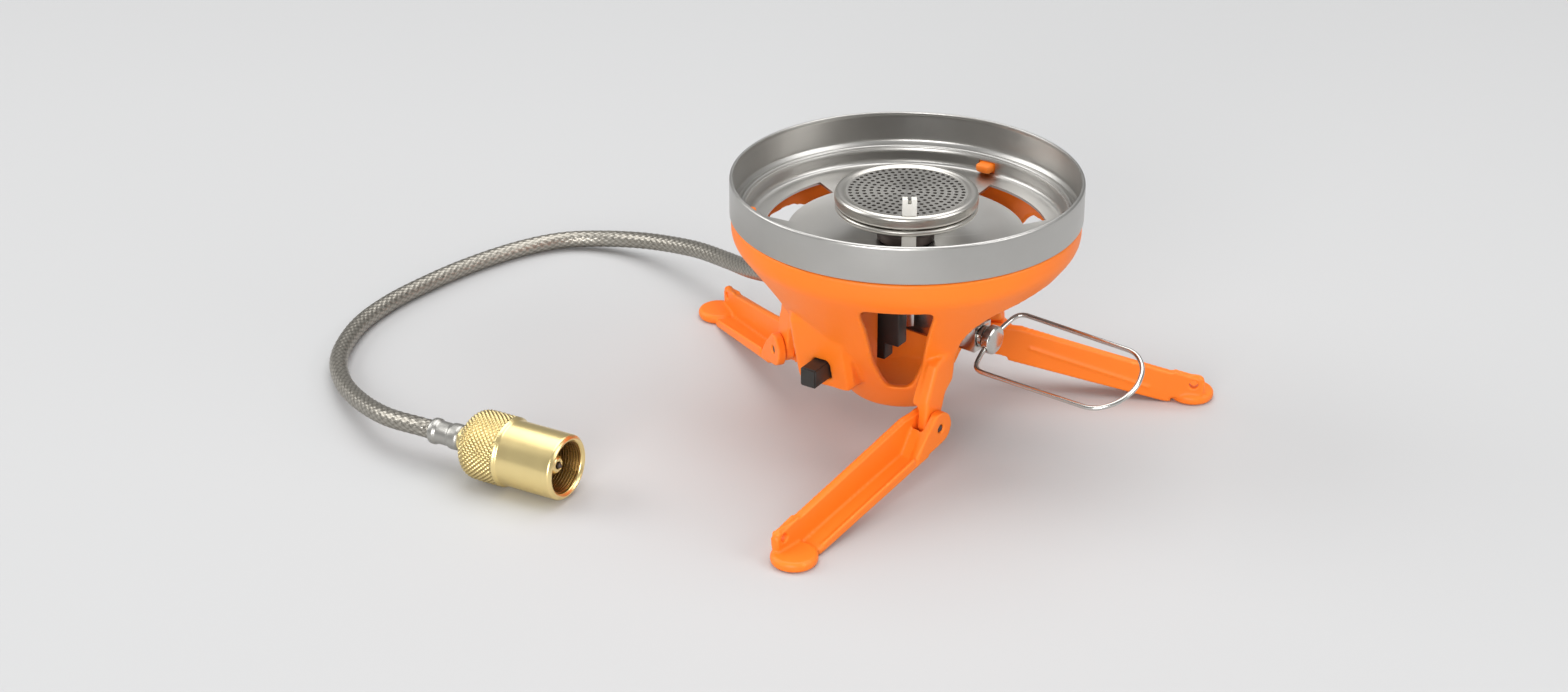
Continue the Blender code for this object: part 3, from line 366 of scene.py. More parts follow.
@dataclass(frozen=True)
class Paper(Finish):
    """Pale studio paper."""

    def paint(self, d: Dresser) -> None:
        """Writes the graph.

        Args:
            d: What writes it.
        """
        fibre = d.noise(900.0, 4.0)
        d.put(Base_Color=d.mix(d.noise(3.0, 2.0), self.light, self.dark), Specular_IOR_Level=0.1,
              Roughness=d.span(fibre, *self.roughness), Normal=d.bump(fibre, 0.03, 0.0001))


# ---- mesh helpers
def shift(x: float = 0.0, y: float = 0.0, z: float = 0.0) -> Matrix:
    """Translation by millimetres."""
    return Matrix.Translation(Vector((x, y, z)) * MM)


def spin(degrees: float, axis: str) -> Matrix:
    """Rotation about X, Y or Z."""
    return Matrix.Rotation(math.radians(degrees), 4, axis)


def polar(azimuth: float, radius: float, height: float = 0.0) -> Vector:
    """Point round the burner's axis in metres, from degrees and millimetres."""
    turn = math.radians(azimuth)
    return Vector((radius * math.cos(turn), radius * math.sin(turn), height)) * MM


def arc(centre: Point2, radius: float, start: float, end: float, count: int) -> list[Point2]:
    """Points on an arc between two angles in degrees."""
    turns = np.radians(np.linspace(start, end, count))
    return [(centre[0] + radius * math.cos(t), centre[1] + radius * math.sin(t)) for t in turns]


def rounded(points: Sequence[Point2], reach: float | Sequence[float], closed: bool = False,
            steps: int = 4) -> list[Point2]:
    """Rounds the corners of an outline.

    Args:
        points: The corners.
        reach: How far each rounding runs along its sides, one value or one for each corner.
        closed: Whether the outline closes.
        steps: Points for each corner.

    Returns:
        The rounded outline.
    """
    count = len(points)
    reaches = [reach] * count if isinstance(reach, (int, float)) else list(reach)
    out: list[Point2] = []
    for i, here in enumerate(points):
        if not closed and i in (0, count - 1):
            out.append(here)
            continue
        corner = Vector(here)
        back, ahead = Vector(points[i - 1]) - corner, Vector(points[(i + 1) % count]) - corner
        start = corner + back.normalized() * min(reaches[i], back.length * 0.46)
        end = corner + ahead.normalized() * min(reaches[i], ahead.length * 0.46)
        for t in np.linspace(0.0, 1.0, steps).tolist():
            point = start * (1 - t) ** 2 + corner * (2 * t * (1 - t)) + end * t * t
            out.append((point.x, point.y))
    return out


def linked(name: str, data: Any) -> Object:
    """Makes an object and links it to the scene.

    Args:
        name: The object's name.
        data: Its mesh, camera or light.

    Returns:
        The object.
    """
    thing = bpy.data.objects.new(name, data)
    bpy.context.scene.collection.objects.link(thing)
    return thing


def crisp(mesh: Mesh, angle: float) -> None:
    """Shades a mesh smooth, but for edges sharper than an angle in degrees."""
    mesh.shade_smooth()
    mesh.set_sharp_from_angle(angle=math.radians(angle))


def store(mesh: Mesh, **fields: Any) -> None:
    """Stores a number at each vertex of a mesh, by attribute name."""
    for label, values in fields.items():
        made = mesh.attributes.new(label, "FLOAT", "POINT")
        made.data.foreach_set("value", np.array(values, np.float32))


def finish_mesh(name: str, shape: BMesh, angle: float = 40.0) -> Object:
    """Turns a bmesh into a linked object with outward faces.

    Args:
        name: The object's name.
        shape: The bmesh, which is freed.
        angle: Edges sharper than this stay sharp, in degrees.

    Returns:
        The object.
    """
    bmesh.ops.remove_doubles(shape, verts=shape.verts, dist=1e-7)
    bmesh.ops.recalc_face_normals(shape, faces=shape.faces)
    mesh = bpy.data.meshes.new(name)
    shape.to_mesh(mesh)
    shape.free()
    crisp(mesh, angle)
    return linked(name, mesh)


def hoops(shape: BMesh, profile: Sequence[Point2], turns: Sequence[float]) -> list[list[Any]]:
    """Adds a ring of vertices for each (radius, height) point of a profile."""
    return [[shape.verts.new(polar(a, r, z)) for a in turns] for r, z in profile]


def bridge(shape: BMesh, rings: Sequence[Sequence[Any]], closed: bool = False) -> None:
    """Bridges equal rings of vertices.

    Args:
        shape: The bmesh.
        rings: The rings, in order.
        closed: Whether the last ring meets the first.
    """
    for i in range(len(rings) if closed else len(rings) - 1):
        low, high = rings[i], rings[(i + 1) % len(rings)]
        for j in range(len(low)):
            k = (j + 1) % len(low)
            shape.faces.new((low[j], low[k], high[k], high[j]))


def fan(shape: BMesh, ring: Sequence[Any], hub: Any) -> None:
    """Closes a ring of vertices with triangles to a point."""
    middle = shape.verts.new(hub)
    for j in range(len(ring)):
        shape.faces.new((ring[j], ring[(j + 1) % len(ring)], middle))


def lathe(profile: Sequence[Point2], steps: int = 96, ring: bool = False) -> BMesh:
    """Turns an outline about Z.

    Args:
        profile: (radius, height) points in millimetres.
        steps: Segments round the axis.
        ring: Whether the outline closes on itself; otherwise both ends get a fan.

    Returns:
        The bmesh in metres.
    """
    shape = bmesh.new()
    rings = hoops(shape, profile, [360.0 * j / steps for j in range(steps)])
    bridge(shape, rings, ring)
    if not ring:
        fan(shape, rings[0], (0.0, 0.0, profile[0][1] * MM))
        fan(shape, rings[-1], (0.0, 0.0, profile[-1][1] * MM))
    return shape


def prism(outline: Sequence[Point2], low: float, high: float, soften: float = 0.0) -> BMesh:
    """Extrudes an (x, z) outline along Y.

    Args:
        outline: Corners in millimetres.
        low: First y in millimetres.
        high: Last y in millimetres.
        soften: Rounding of the two long rims in millimetres.

    Returns:
        The bmesh in metres.
    """
    shape = bmesh.new()
    rings = [[shape.verts.new((x * MM, y * MM, z * MM)) for x, z in outline] for y in (low, high)]
    bridge(shape, rings)
    caps = [shape.faces.new(rings[0]), shape.faces.new(rings[1])]
    if soften > 0.0:
        rims = list({edge for face in caps for edge in face.edges})
        bmesh.ops.bevel(shape, geom=rims, offset=soften * MM, segments=3, affect="EDGES",
                        clamp_overlap=True)
    return shape


def block(size: Sequence[float], centre: Sequence[float], bevel: float = 0.0) -> BMesh:
    """Box with rounded edges.

    Args:
        size: Its sides in millimetres.
        centre: Its middle in millimetres.
        bevel: Rounding in millimetres.

    Returns:
        The bmesh in metres.
    """
    shape = bmesh.new()
    bmesh.ops.create_cube(shape, size=1.0)
    bmesh.ops.scale(shape, vec=Vector(size) * MM, verts=shape.verts)
    bmesh.ops.translate(shape, vec=Vector(centre) * MM, verts=shape.verts)
    if bevel > 0.0:
        bmesh.ops.bevel(shape, geom=shape.edges[:], offset=bevel * MM, segments=3, affect="EDGES")
    return shape


def moved(shape: BMesh, matrix: Matrix) -> BMesh:
    """Moves a bmesh by a matrix in metres, and gives it back."""
    bmesh.ops.transform(shape, matrix=matrix, verts=shape.verts)
    return shape


def applied(thing: Object) -> Object:
    """Turns an object's modifiers into plain mesh.

    Args:
        thing: The object.

    Returns:
        The same object with no modifiers.
    """
    bpy.context.view_layer.update()
    depsgraph = bpy.context.evaluated_depsgraph_get()
    mesh = bpy.data.meshes.new_from_object(thing.evaluated_get(depsgraph))
    mesh.name = thing.name
    thing.modifiers.clear()
    thing.data = mesh
    return thing


def carve(target: Object, shape: BMesh, operation: str = "DIFFERENCE") -> None:
    """Cuts a shape away from an object, or adds it.

    Args:
        target: The object.
        shape: The tool, which is used up.
        operation: DIFFERENCE or UNION.
    """
    tool = finish_mesh("tool", shape)
    modifier = target.modifiers.new("carve", "BOOLEAN")
    modifier.operation = operation
    modifier.solver = "EXACT"
    modifier.object = tool
    applied(target)
    bpy.data.objects.remove(tool, do_unlink=True)


def fuse(target: Object, shape: BMesh) -> None:
    """Adds a shape to an object."""
    carve(target, shape, "UNION")


def moulded(target: Object, voxel: float, passes: int) -> None:
    """Melts a cut-out shape into one even skin with small fillets, as a mould gives.

    Args:
        target: The object.
        voxel: Size of the skin's faces in millimetres.
        passes: Smoothing passes.
    """
    melt = target.modifiers.new("melt", "REMESH")
    melt.mode = "VOXEL"
    melt.voxel_size = voxel * MM
    melt.use_smooth_shade = True
    relax = target.modifiers.new("relax", "SMOOTH")
    relax.factor = 0.5
    relax.iterations = passes
    applied(target)
    target.data.shade_smooth()


def smooth_points(points: Sequence[Sequence[float]], spacing: float) -> np.ndarray:
    """Even points on a Catmull-Rom curve.

    Args:
        points: Points that it passes through.
        spacing: Distance between the results, in the points' unit.

    Returns:
        One row for each point.
    """
    knots = [Vector(p) for p in points]
    knots = [2 * knots[0] - knots[1], *knots, 2 * knots[-1] - knots[-2]]
    fine = []
    for i in range(1, len(knots) - 2):
        a, b, c, d = knots[i - 1:i + 3]
        for t in np.linspace(0.0, 1.0, 24, endpoint=False).tolist():
            fine.append(0.5 * (2 * b + (c - a) * t + (2 * a - 5 * b + 4 * c - d) * t ** 2
                               + (3 * b - a - 3 * c + d) * t ** 3))
    fine.append(knots[-2])
    line = np.array([tuple(p) for p in fine])
    run = run_along(line)
    even = np.linspace(0.0, run[-1], max(2, round(run[-1] / spacing) + 1))
    return np.stack([np.interp(even, run, line[:, k]) for k in range(3)], axis=1)


def run_along(points: np.ndarray) -> np.ndarray:
    """Distance along a line at each of its points."""
    return np.concatenate(([0.0], np.cumsum(np.linalg.norm(np.diff(points, axis=0), axis=1))))


def tube(name: str, points: np.ndarray, radius: float, sides: int) -> Object:
    """Round closed tube, which keeps where each vertex lies round it and along it.

    Args:
        name: The object's name.
        points: Its centreline in millimetres.
        radius: Its radius in millimetres.
        sides: Faces round it.

    Returns:
        The object, with the point attributes around, along and mask.
    """
    count = len(points)
    ahead = np.gradient(points, axis=0)
    ahead /= np.linalg.norm(ahead, axis=1)[:, None]
    side = np.cross(ahead[0], (0.0, 0.0, 1.0))
    verts, around, along, faces = [], [], [], []
    run = run_along(points) * MM
    turns = np.linspace(0.0, 2 * math.pi, sides, endpoint=False)
    for i in range(count):
        side = side - ahead[i] * np.dot(side, ahead[i])
        side /= np.linalg.norm(side)
        up = np.cross(ahead[i], side)
        ring = points[i] + radius * (np.outer(np.cos(turns), side) + np.outer(np.sin(turns), up))
        verts.extend((ring * MM).tolist())
        around.extend(turns / (2 * math.pi))
        along.extend([run[i]] * sides)
    near, far = len(verts), len(verts) + 1
    verts.extend([(points[0] * MM).tolist(), (points[-1] * MM).tolist()])
    around.extend([0.0, 0.0])
    along.extend([0.0, run[-1]])
    for i in range(count - 1):
        a, b = i * sides, (i + 1) * sides
        faces += [(a + j, b + j, b + (j + 1) % sides, a + (j + 1) % sides) for j in range(sides)]
    last = (count - 1) * sides
    for j in range(sides):
        k = (j + 1) % sides
        faces += [(j, k, near), (last + k, last + j, far)]
    mesh = bpy.data.meshes.new(name)
    mesh.from_pydata(verts, [], faces)
    store(mesh, around=around, along=along, mask=[1.0] * len(verts))
    shape = bmesh.new()
    shape.from_mesh(mesh)
    bmesh.ops.recalc_face_normals(shape, faces=shape.faces)
    shape.to_mesh(mesh)
    shape.free()
    mesh.shade_smooth()
    return linked(name, mesh)


def locking_tab(azimuth: float, extra: float, bevel: float) -> BMesh:
    """Tab of the casing that reaches through the ring's lower wall.

    Args:
        azimuth: Its direction in degrees.
        extra: Growth on each side in millimetres.
        bevel: Rounding in millimetres.

    Returns:
        The bmesh.
    """
    size = [side + 2 * extra for side in TAB_SIZE]
    place = spin(azimuth, "Z") @ shift(TAB_TIP[0] - TAB_SIZE[0] / 2, 0.0, TAB_TIP[1])
    return moved(block(size, (0.0, 0.0, 0.0), bevel), place)


def insulator_room() -> BMesh:
    """Room for the upright insulator, with a gap on its sides."""
    size = (2.4 + 2 * GAP, 4.3 + 2 * GAP, 24.6)
    return moved(block(size, (INSULATOR_R, 0.0, 59.3)), spin(INSULATOR_AZIMUTH, "Z"))


# ---- the palette
CONNECTOR = shift(*CONNECTOR_AT, FLOOR_Z + COLLAR_R) @ spin(NUT_AZIMUTH, "Z")
MADE: dict[str, Material] = {}


class Look(Enum):
    """Every finish of the stove and its floor."""

    SPUN = SpunMetal("spun_steel", (0.58, 0.57, 0.55), (0.43, 0.42, 0.40), (0.24, 0.36))
    HEAD = SpunMetal("burner_steel", (0.72, 0.70, 0.66), (0.52, 0.50, 0.46), (0.2, 0.34))
    BRIGHT = Finish("bright_steel", (0.66, 0.65, 0.62), (0.40, 0.39, 0.36))
    SATIN = Finish("satin_steel", (0.50, 0.49, 0.46), (0.34, 0.33, 0.30), (0.3, 0.42))
    # Dark steel on the pins, the lock screw, the mixing tube and its nut; under the burner plate
    # and near the cup's neck the same colour is painted shade.
    DARK_STEEL_AND_SHADE = Finish("dark_steel_and_painted_shade", (0.16, 0.13, 0.12), (0.06, 0.05, 0.05), (0.4, 0.6))
    # Each plastic's last colour is the painted highlight on its convex edges.
    ORANGE = MouldedPlastic("orange_plastic", (0.98, 0.225, 0.014), (0.92, 0.175, 0.010),
                            edge_highlight=(1.0, 0.33, 0.06), glow=0.05)
    BLACK = MouldedPlastic("black_plastic", (0.018, 0.017, 0.016), (0.010, 0.010, 0.010),
                           (0.3, 0.48), (0.07, 0.065, 0.06))
    BRASS = Finish("plain_brass", (0.80, 0.60, 0.26), (0.55, 0.38, 0.14), (0.2, 0.36))
    TURNED_BRASS = SpunMetal("turned_brass", (0.98, 0.81, 0.41), (0.88, 0.69, 0.31), (0.2, 0.3),
                             3000.0, 0.000015, 0.0, CONNECTOR)
    KNURLED_BRASS = RaisedMetal("knurled_brass", (0.98, 0.83, 0.43), (0.46, 0.31, 0.10),
                                (0.22, 0.36), 2600.0)
    BORE_BRASS = Finish("shaded_brass", (0.30, 0.17, 0.055), (0.16, 0.085, 0.025), (0.3, 0.42))
    BRAID = RaisedMetal("braided_steel", (0.56, 0.53, 0.47), (0.17, 0.155, 0.13))
    CERAMIC = Dull("white_ceramic", (0.86, 0.85, 0.80), (0.62, 0.58, 0.50), (0.25, 0.45))
    RUBBER = Dull("seal_rubber", (0.02, 0.02, 0.02), (0.05, 0.048, 0.045), (0.6, 0.8))
    PAPER = Paper("pale_paper", (0.535, 0.537, 0.54), (0.545, 0.547, 0.55), (0.75, 0.9))

    def material(self) -> Material:
        """Makes the material when it is first asked for.

        Returns:
            The material.
        """
        if self.name not in MADE:
            MADE[self.name] = self.value.make()
        return MADE[self.name]


def wear(thing: Object, *looks: Look) -> Object:
    """Puts materials on an object.

    Args:
        thing: The object.
        looks: The finishes, in the order of its material slots.

    Returns:
        The same object.
    """
    thing.data.materials.clear()
    for look in looks:
        thing.data.materials.append(look.material())
    return thing


def adopt(thing: Object, body: Body, slot: Slot, *nodes: str) -> Object:
    """Hands a finished piece to the frame.

    Args:
        thing: The piece.
        body: What it moves with.
        slot: The record's material slot; not used.
        nodes: CAD nodes that it stands for.

    Returns:
        The same object.
    """
    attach(thing, body.value)
    if nodes:
        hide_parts(*nodes)
    LOG.info("%s: %d faces on %s", thing.name, len(thing.data.polygons), body.value)
    return thing


def refine(node: str, name: str, width: float, look: Look, slot: Slot,
           body: Body = Body.STOVE) -> None:
    """Makes a finer piece from a CAD node, with rounded edges.

    Args:
        node: The CAD node.
        name: The new piece's name.
        width: Rounding in millimetres.
        look: Its finish.
        slot: The record's material slot.
        body: What it moves with.
    """
    shape = bmesh.new()
    shape.from_mesh(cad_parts[node].data)
    bmesh.ops.remove_doubles(shape, verts=shape.verts, dist=2e-6)
    bmesh.ops.dissolve_limit(shape, angle_limit=math.radians(1.0), verts=shape.verts,
                             edges=shape.edges)
    thing = finish_mesh(name, shape, 32.0)
    bevel = thing.modifiers.new("edges", "BEVEL")
    bevel.width = width * MM
    bevel.segments = 3
    bevel.limit_method = "ANGLE"
    bevel.angle_limit = math.radians(34.0)
    bevel.use_clamp_overlap = True
    crisp(applied(thing).data, 32.0)
    adopt(wear(thing, look), body, slot, node)


def keep(**looks: Look) -> None:
    """Gives kept CAD nodes their finishes, by node name."""
    for node, look in looks.items():
        LOG.info("%s: kept from the CAD", wear(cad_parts[node], look).name)


# ---- geometry nodes
class GeometryGraph(Graph):
    """A Geometry Nodes tree with named inputs, which ends in Set Material."""

    def __init__(self, name: str, inputs: dict[str, float | int]) -> None:
        """Makes the tree and its inputs.

        Args:
            name: The tree's name.
            inputs: Named sizes with their values; whole numbers make whole-number inputs.
        """
        super().__init__(bpy.data.node_groups.new(name, "GeometryNodeTree"))
        face = self.tree.interface
        for way in ("OUTPUT", "INPUT"):
            face.new_socket(name="Geometry", in_out=way, socket_type="NodeSocketGeometry")
        self.values: dict[str, Any] = {}
        for label, value in inputs.items():
            kind = "NodeSocketInt" if isinstance(value, int) else "NodeSocketFloat"
            made = face.new_socket(name=label, in_out="INPUT", socket_type=kind)
            self.values[made.identifier] = value
        self.finish = face.new_socket(name="Finish", in_out="INPUT",
                                      socket_type="NodeSocketMaterial").identifier
        self.entry = self.node("NodeGroupInput").outputs

    def geo(self, kind: str, inputs: dict[Any, Any], **settings: Any) -> NodeSocket:
        """Adds a Geometry node and gives its first output."""
        return self.out("GeometryNode" + kind, inputs, **settings)

    def join(self, *parts: NodeSocket) -> NodeSocket:
        """Joins geometries.

        Args:
            parts: What is joined.

        Returns:
            The joined geometry.
        """
        joined = self.node("GeometryNodeJoinGeometry")
        for part in parts:
            self.tree.links.new(part, joined.inputs[0])
        return joined.outputs[0]

    def run(self, thing: Object, geometry: NodeSocket, look: Look) -> Object:
        """Ends the tree, applies it to an object and leaves plain mesh.

        Args:
            thing: The object.
            geometry: What the tree gives out.
            look: The finish that it sets.

        Returns:
            The same object.
        """
        real = self.geo("RealizeInstances", {0: geometry})
        dressed = self.geo("SetMaterial", {"Geometry": real, "Material": self.entry["Finish"]})
        self.node("NodeGroupOutput", {0: dressed})
        modifier = thing.modifiers.new(self.tree.name, "NODES")
        modifier.node_group = self.tree
        for identifier, value in self.values.items():
            modifier[identifier] = value
        modifier[self.finish] = look.material()
        return applied(thing)


def sink_relief(thing: Object, look: Look, kind: Relief, depth: float, around: int,
                along: float) -> None:
    """Sinks the grooves of a knurl or a braid into a round surface.

    Args:
        thing: The object, with its attributes around, along and mask.
        look: Its finish.
        kind: The pattern.
        depth: Depth of the grooves in millimetres.
        around: Repeats round the piece.
        along: Repeats for each metre.
    """
    g = GeometryGraph(f"{kind.value}_relief",
                      {"Depth": depth * MM, "Around": float(around), "Along": along})
    place = [g.geo("InputNamedAttribute", {"Name": label}, data_type="FLOAT")
             for label in ("around", "along", "mask")]
    u, v = g.times(place[0], g.entry["Around"]), g.times(place[1], g.entry["Along"])
    right, left = g.plus(u, v), g.calc("SUBTRACT", u, v)
    if kind is Relief.KNURL:
        slopes = [g.calc("PINGPONG", x, 0.5) for x in (right, left)]
        height = g.calc("MINIMUM", g.times(g.calc("MINIMUM", *slopes), 2.6), 1.0)
    else:
        humps = [g.calc("SINE", g.times(g.calc("FRACT", x), math.pi)) for x in (right, left)]
        cells = g.plus(g.calc("FLOOR", right), g.calc("FLOOR", left))
        over = g.calc("FLOORED_MODULO", cells, 2.0)
        across = [g.calc("POWER", hump, 0.7) for hump in humps]
        rise = [g.plus(0.45, g.times(hump, 0.55)) for hump in humps]
        second = g.times(g.times(across[1], rise[0]), g.calc("SUBTRACT", 1.0, over))
        height = g.plus(g.times(g.times(across[0], rise[1]), over), second)
    sunk = g.times(g.calc("SUBTRACT", height, 1.0), place[2])
    offset = g.out("ShaderNodeVectorMath", {0: g.geo("InputNormal", {}),
                                            3: g.times(sunk, g.entry["Depth"])}, operation="SCALE")
    kept = g.geo("StoreNamedAttribute", {"Geometry": g.entry["Geometry"], "Name": "relief",
                                         "Value": g.plus(sunk, 1.0)},
                 data_type="FLOAT", domain="POINT")
    g.run(thing, g.geo("SetPosition", {"Geometry": kept, "Offset": offset}), look)


# ---- studio
@dataclass
class Studio:
    """Camera, pale floor and soft lights; lamps are named, placed, sized and powered."""

    eye: Point3 = (433.4, -593.7, 376.3)
    down: float = 26.318
    bearing: float = 39.04
    lens: float = 60.05
    sensor: float = 36.0
    floor_side: float = 14.0
    sky: float = 0.32
    aim: Point3 = (0.0, 0.0, 0.02)
    lamps: tuple[tuple[str, Point3, float, float], ...] = (
        ("top_box", (-0.10, 0.25, 1.35), 1.5, 17.0),
        ("left_box", (-1.25, -0.70, 0.85), 1.0, 10.0),
        ("right_box", (1.25, 0.35, 0.75), 0.8, 6.8),
        ("front_box", (0.60, -1.45, 0.45), 0.8, 17.0),
    )

    def shoot(self) -> None:
        """Places the camera."""
        data = bpy.data.cameras.new("camera")
        data.lens, data.sensor_width, data.clip_start = self.lens, self.sensor, 0.01
        camera = linked("camera", data)
        camera.location = Vector(self.eye) * MM
        camera.rotation_euler = (math.radians(90.0 - self.down), 0.0, math.radians(self.bearing))
        bpy.context.scene.camera = camera

    def light(self) -> None:
        """Adds the floor, the sky and the soft boxes."""
        shape = bmesh.new()
        bmesh.ops.create_grid(shape, x_segments=8, y_segments=8, size=self.floor_side / 2)
        bmesh.ops.translate(shape, vec=(0.0, 0.0, FLOOR_Z * MM - 0.0001), verts=shape.verts)
        floor = wear(finish_mesh("floor", shape), Look.PAPER)
        if floor.data.polygons[0].normal.z < 0:
            floor.data.flip_normals()
        world = bpy.data.worlds.new("soft_sky")
        world.use_nodes = True
        sky = world.node_tree.nodes["Background"].inputs
        sky["Color"].default_value = (1.0, 1.0, 1.0, 1.0)
        sky["Strength"].default_value = self.sky
        bpy.context.scene.world = world
        bpy.context.scene.view_settings.view_transform = "Standard"
        for name, place, side, power in self.lamps:
            data = bpy.data.lights.new(name, "AREA")
            data.shape, data.size, data.energy = "SQUARE", side, power
            lamp = linked(name, data)
            lamp.location = place
            way = Vector(self.aim) - Vector(place)
            lamp.rotation_euler = way.to_track_quat("-Z", "Y").to_euler()


# ---- hose and connector
@dataclass
class Connector:
    """Threaded connector: knurled swivel nut, core with a nozzle, washer and pin."""

    collar_l: float = 18.0
    sleeve_r: float = 10.1
    length: float = 37.5
    bore_r: float = 8.0
    bore_l: float = 26.0
    core_r: float = 6.4
    core_t: float = 4.0
    shank_r: float = 4.0
    nozzle_r: float = 3.0
    nozzle_end: float = 34.0
    pin_r: float = 0.9
    diamonds: int = 42
    grip_l: float = 15.4
    groove: float = 0.5
    dome_r: float = 5.0
    thread_ridge: float = 0.34
    thread_pitch: float = 0.95
    thread_short: float = 8.0

    def nut_profile(self) -> list[Point2]:
        """Closed outline of the nut.

        Returns:
            (radius, length) points from its back.
        """
        c, s, end, hole = COLLAR_R, self.sleeve_r, self.length, self.shank_r + GAP
        shoulder, back = end - self.bore_l, self.collar_l - self.grip_l
        outer = rounded([(hole, back), (c - self.dome_r - 0.6, back)], 0.3)
        outer += arc((c - self.dome_r, back + self.dome_r), self.dome_r, -90, -6, 34)
        outer += [(c, z) for z in np.linspace(back + self.dome_r, self.collar_l - 1.3, 44)]
        front = [(c, self.collar_l - 0.9), (s, self.collar_l), (s, end - 0.9), (s - 0.9, end),
                 (self.bore_r + 0.8, end), (self.bore_r, end - 0.8), (self.bore_r, shoulder),
                 (hole, shoulder)]
        return outer + rounded(front, 0.35)

    def nut(self) -> Object:
        """Swivel nut with a diamond grip.

        Returns:
            The piece.
        """
        c, end, back = COLLAR_R, self.length, self.collar_l - self.grip_l
        nut = finish_mesh("swivel_nut", lathe(self.nut_profile(), self.diamonds * 8, True), 50.0)
        spots = np.array([v.co for v in nut.data.vertices])
        radius, height = np.hypot(spots[:, 0], spots[:, 1]), spots[:, 2]
        around = (np.arctan2(spots[:, 1], spots[:, 0]) / (2 * math.pi)) % 1.0
        rise = np.clip((height - (back + 0.6) * MM) / (1.2 * MM), 0.0, 1.0)
        fall = np.clip(((self.collar_l - 1.0) * MM - height) / (0.6 * MM), 0.0, 1.0)
        mask = np.where(radius > (c - self.dome_r - 0.3) * MM, rise * fall, 0.0)
        store(nut.data, around=around, along=height, mask=mask)
        pitch = self.diamonds / (2 * math.pi * c * MM)
        sink_relief(nut, Look.KNURLED_BRASS, Relief.KNURL, self.groove, self.diamonds, pitch)
        wear(nut, Look.KNURLED_BRASS, Look.TURNED_BRASS, Look.BORE_BRASS)
        for face in nut.data.polygons:
            far, along = math.hypot(face.center.x, face.center.y) / MM, face.center.z / MM
            if far < self.bore_r + 0.1 and end - self.bore_l - 0.1 < along < end - 0.9:
                face.material_index = 2
            else:
                grip = along < self.collar_l - 0.9 and far > c - self.dome_r
                face.material_index = 0 if grip else 1
        nut.data.transform(CONNECTOR @ spin(90.0, "Y"))
        return adopt(nut, Body.NUT, Slot.BRASS, "connector_nut")

    def thread(self) -> Object:
        """Ridge of the nut's inner thread.

        Returns:
            The piece.
        """
        height = self.bore_l - self.thread_short
        g = GeometryGraph("screw_thread", {
            "Radius": (self.bore_r - 0.05) * MM, "Ridge": self.thread_ridge * MM,
            "Turns": height / self.thread_pitch, "Height": height * MM, "Steps": 56})
        coil = g.geo("CurveSpiral", {
            "Resolution": g.entry["Steps"], "Rotations": g.entry["Turns"],
            "Start Radius": g.entry["Radius"], "End Radius": g.entry["Radius"],
            "Height": g.entry["Height"]})
        section = g.geo("CurvePrimitiveCircle", {"Resolution": 4, "Radius": g.entry["Ridge"]})
        ridge = g.geo("CurveToMesh", {"Curve": coil, "Profile Curve": section, "Fill Caps": True})
        thread = linked("nut_thread", bpy.data.meshes.new("nut_thread"))
        g.run(thread, ridge, Look.BORE_BRASS)
        thread.data.transform(CONNECTOR @ shift(self.length - 1.2 - height) @ spin(90.0, "Y"))
        return adopt(thread, Body.NUT, Slot.BRASS)

    def core(self) -> Object:
        """Core with its shank and nozzle.

        Returns:
            The piece.
        """
        back = self.length - self.bore_l + GAP
        front, bore, tip, r = back + self.core_t, self.pin_r + GAP, self.nozzle_end, self.nozzle_r
        outline = [(self.shank_r, -SHANK_OUT), (self.shank_r, back), (self.core_r, back),
                   (self.core_r, front), (r, front), (r, tip - 1.0), (r - 0.8, tip), (bore, tip),
                   (bore, front)]
        shape = moved(lathe(rounded(outline, 0.25, steps=3), 72), CONNECTOR @ spin(90.0, "Y"))
        core = wear(finish_mesh("nozzle_core", shape), Look.TURNED_BRASS)
        return adopt(core, Body.STOVE, Slot.BRASS, "connector_core")

    def build(self) -> list[Object]:
        """Makes every piece of the connector.

        Returns:
            The pieces.
        """
        keep(connector_seal=Look.RUBBER, valve_pin=Look.DARK_STEEL_AND_SHADE)
        kept = [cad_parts[node] for node in ("connector_seal", "valve_pin")]
        return [self.nut(), self.thread(), self.core(), *kept]


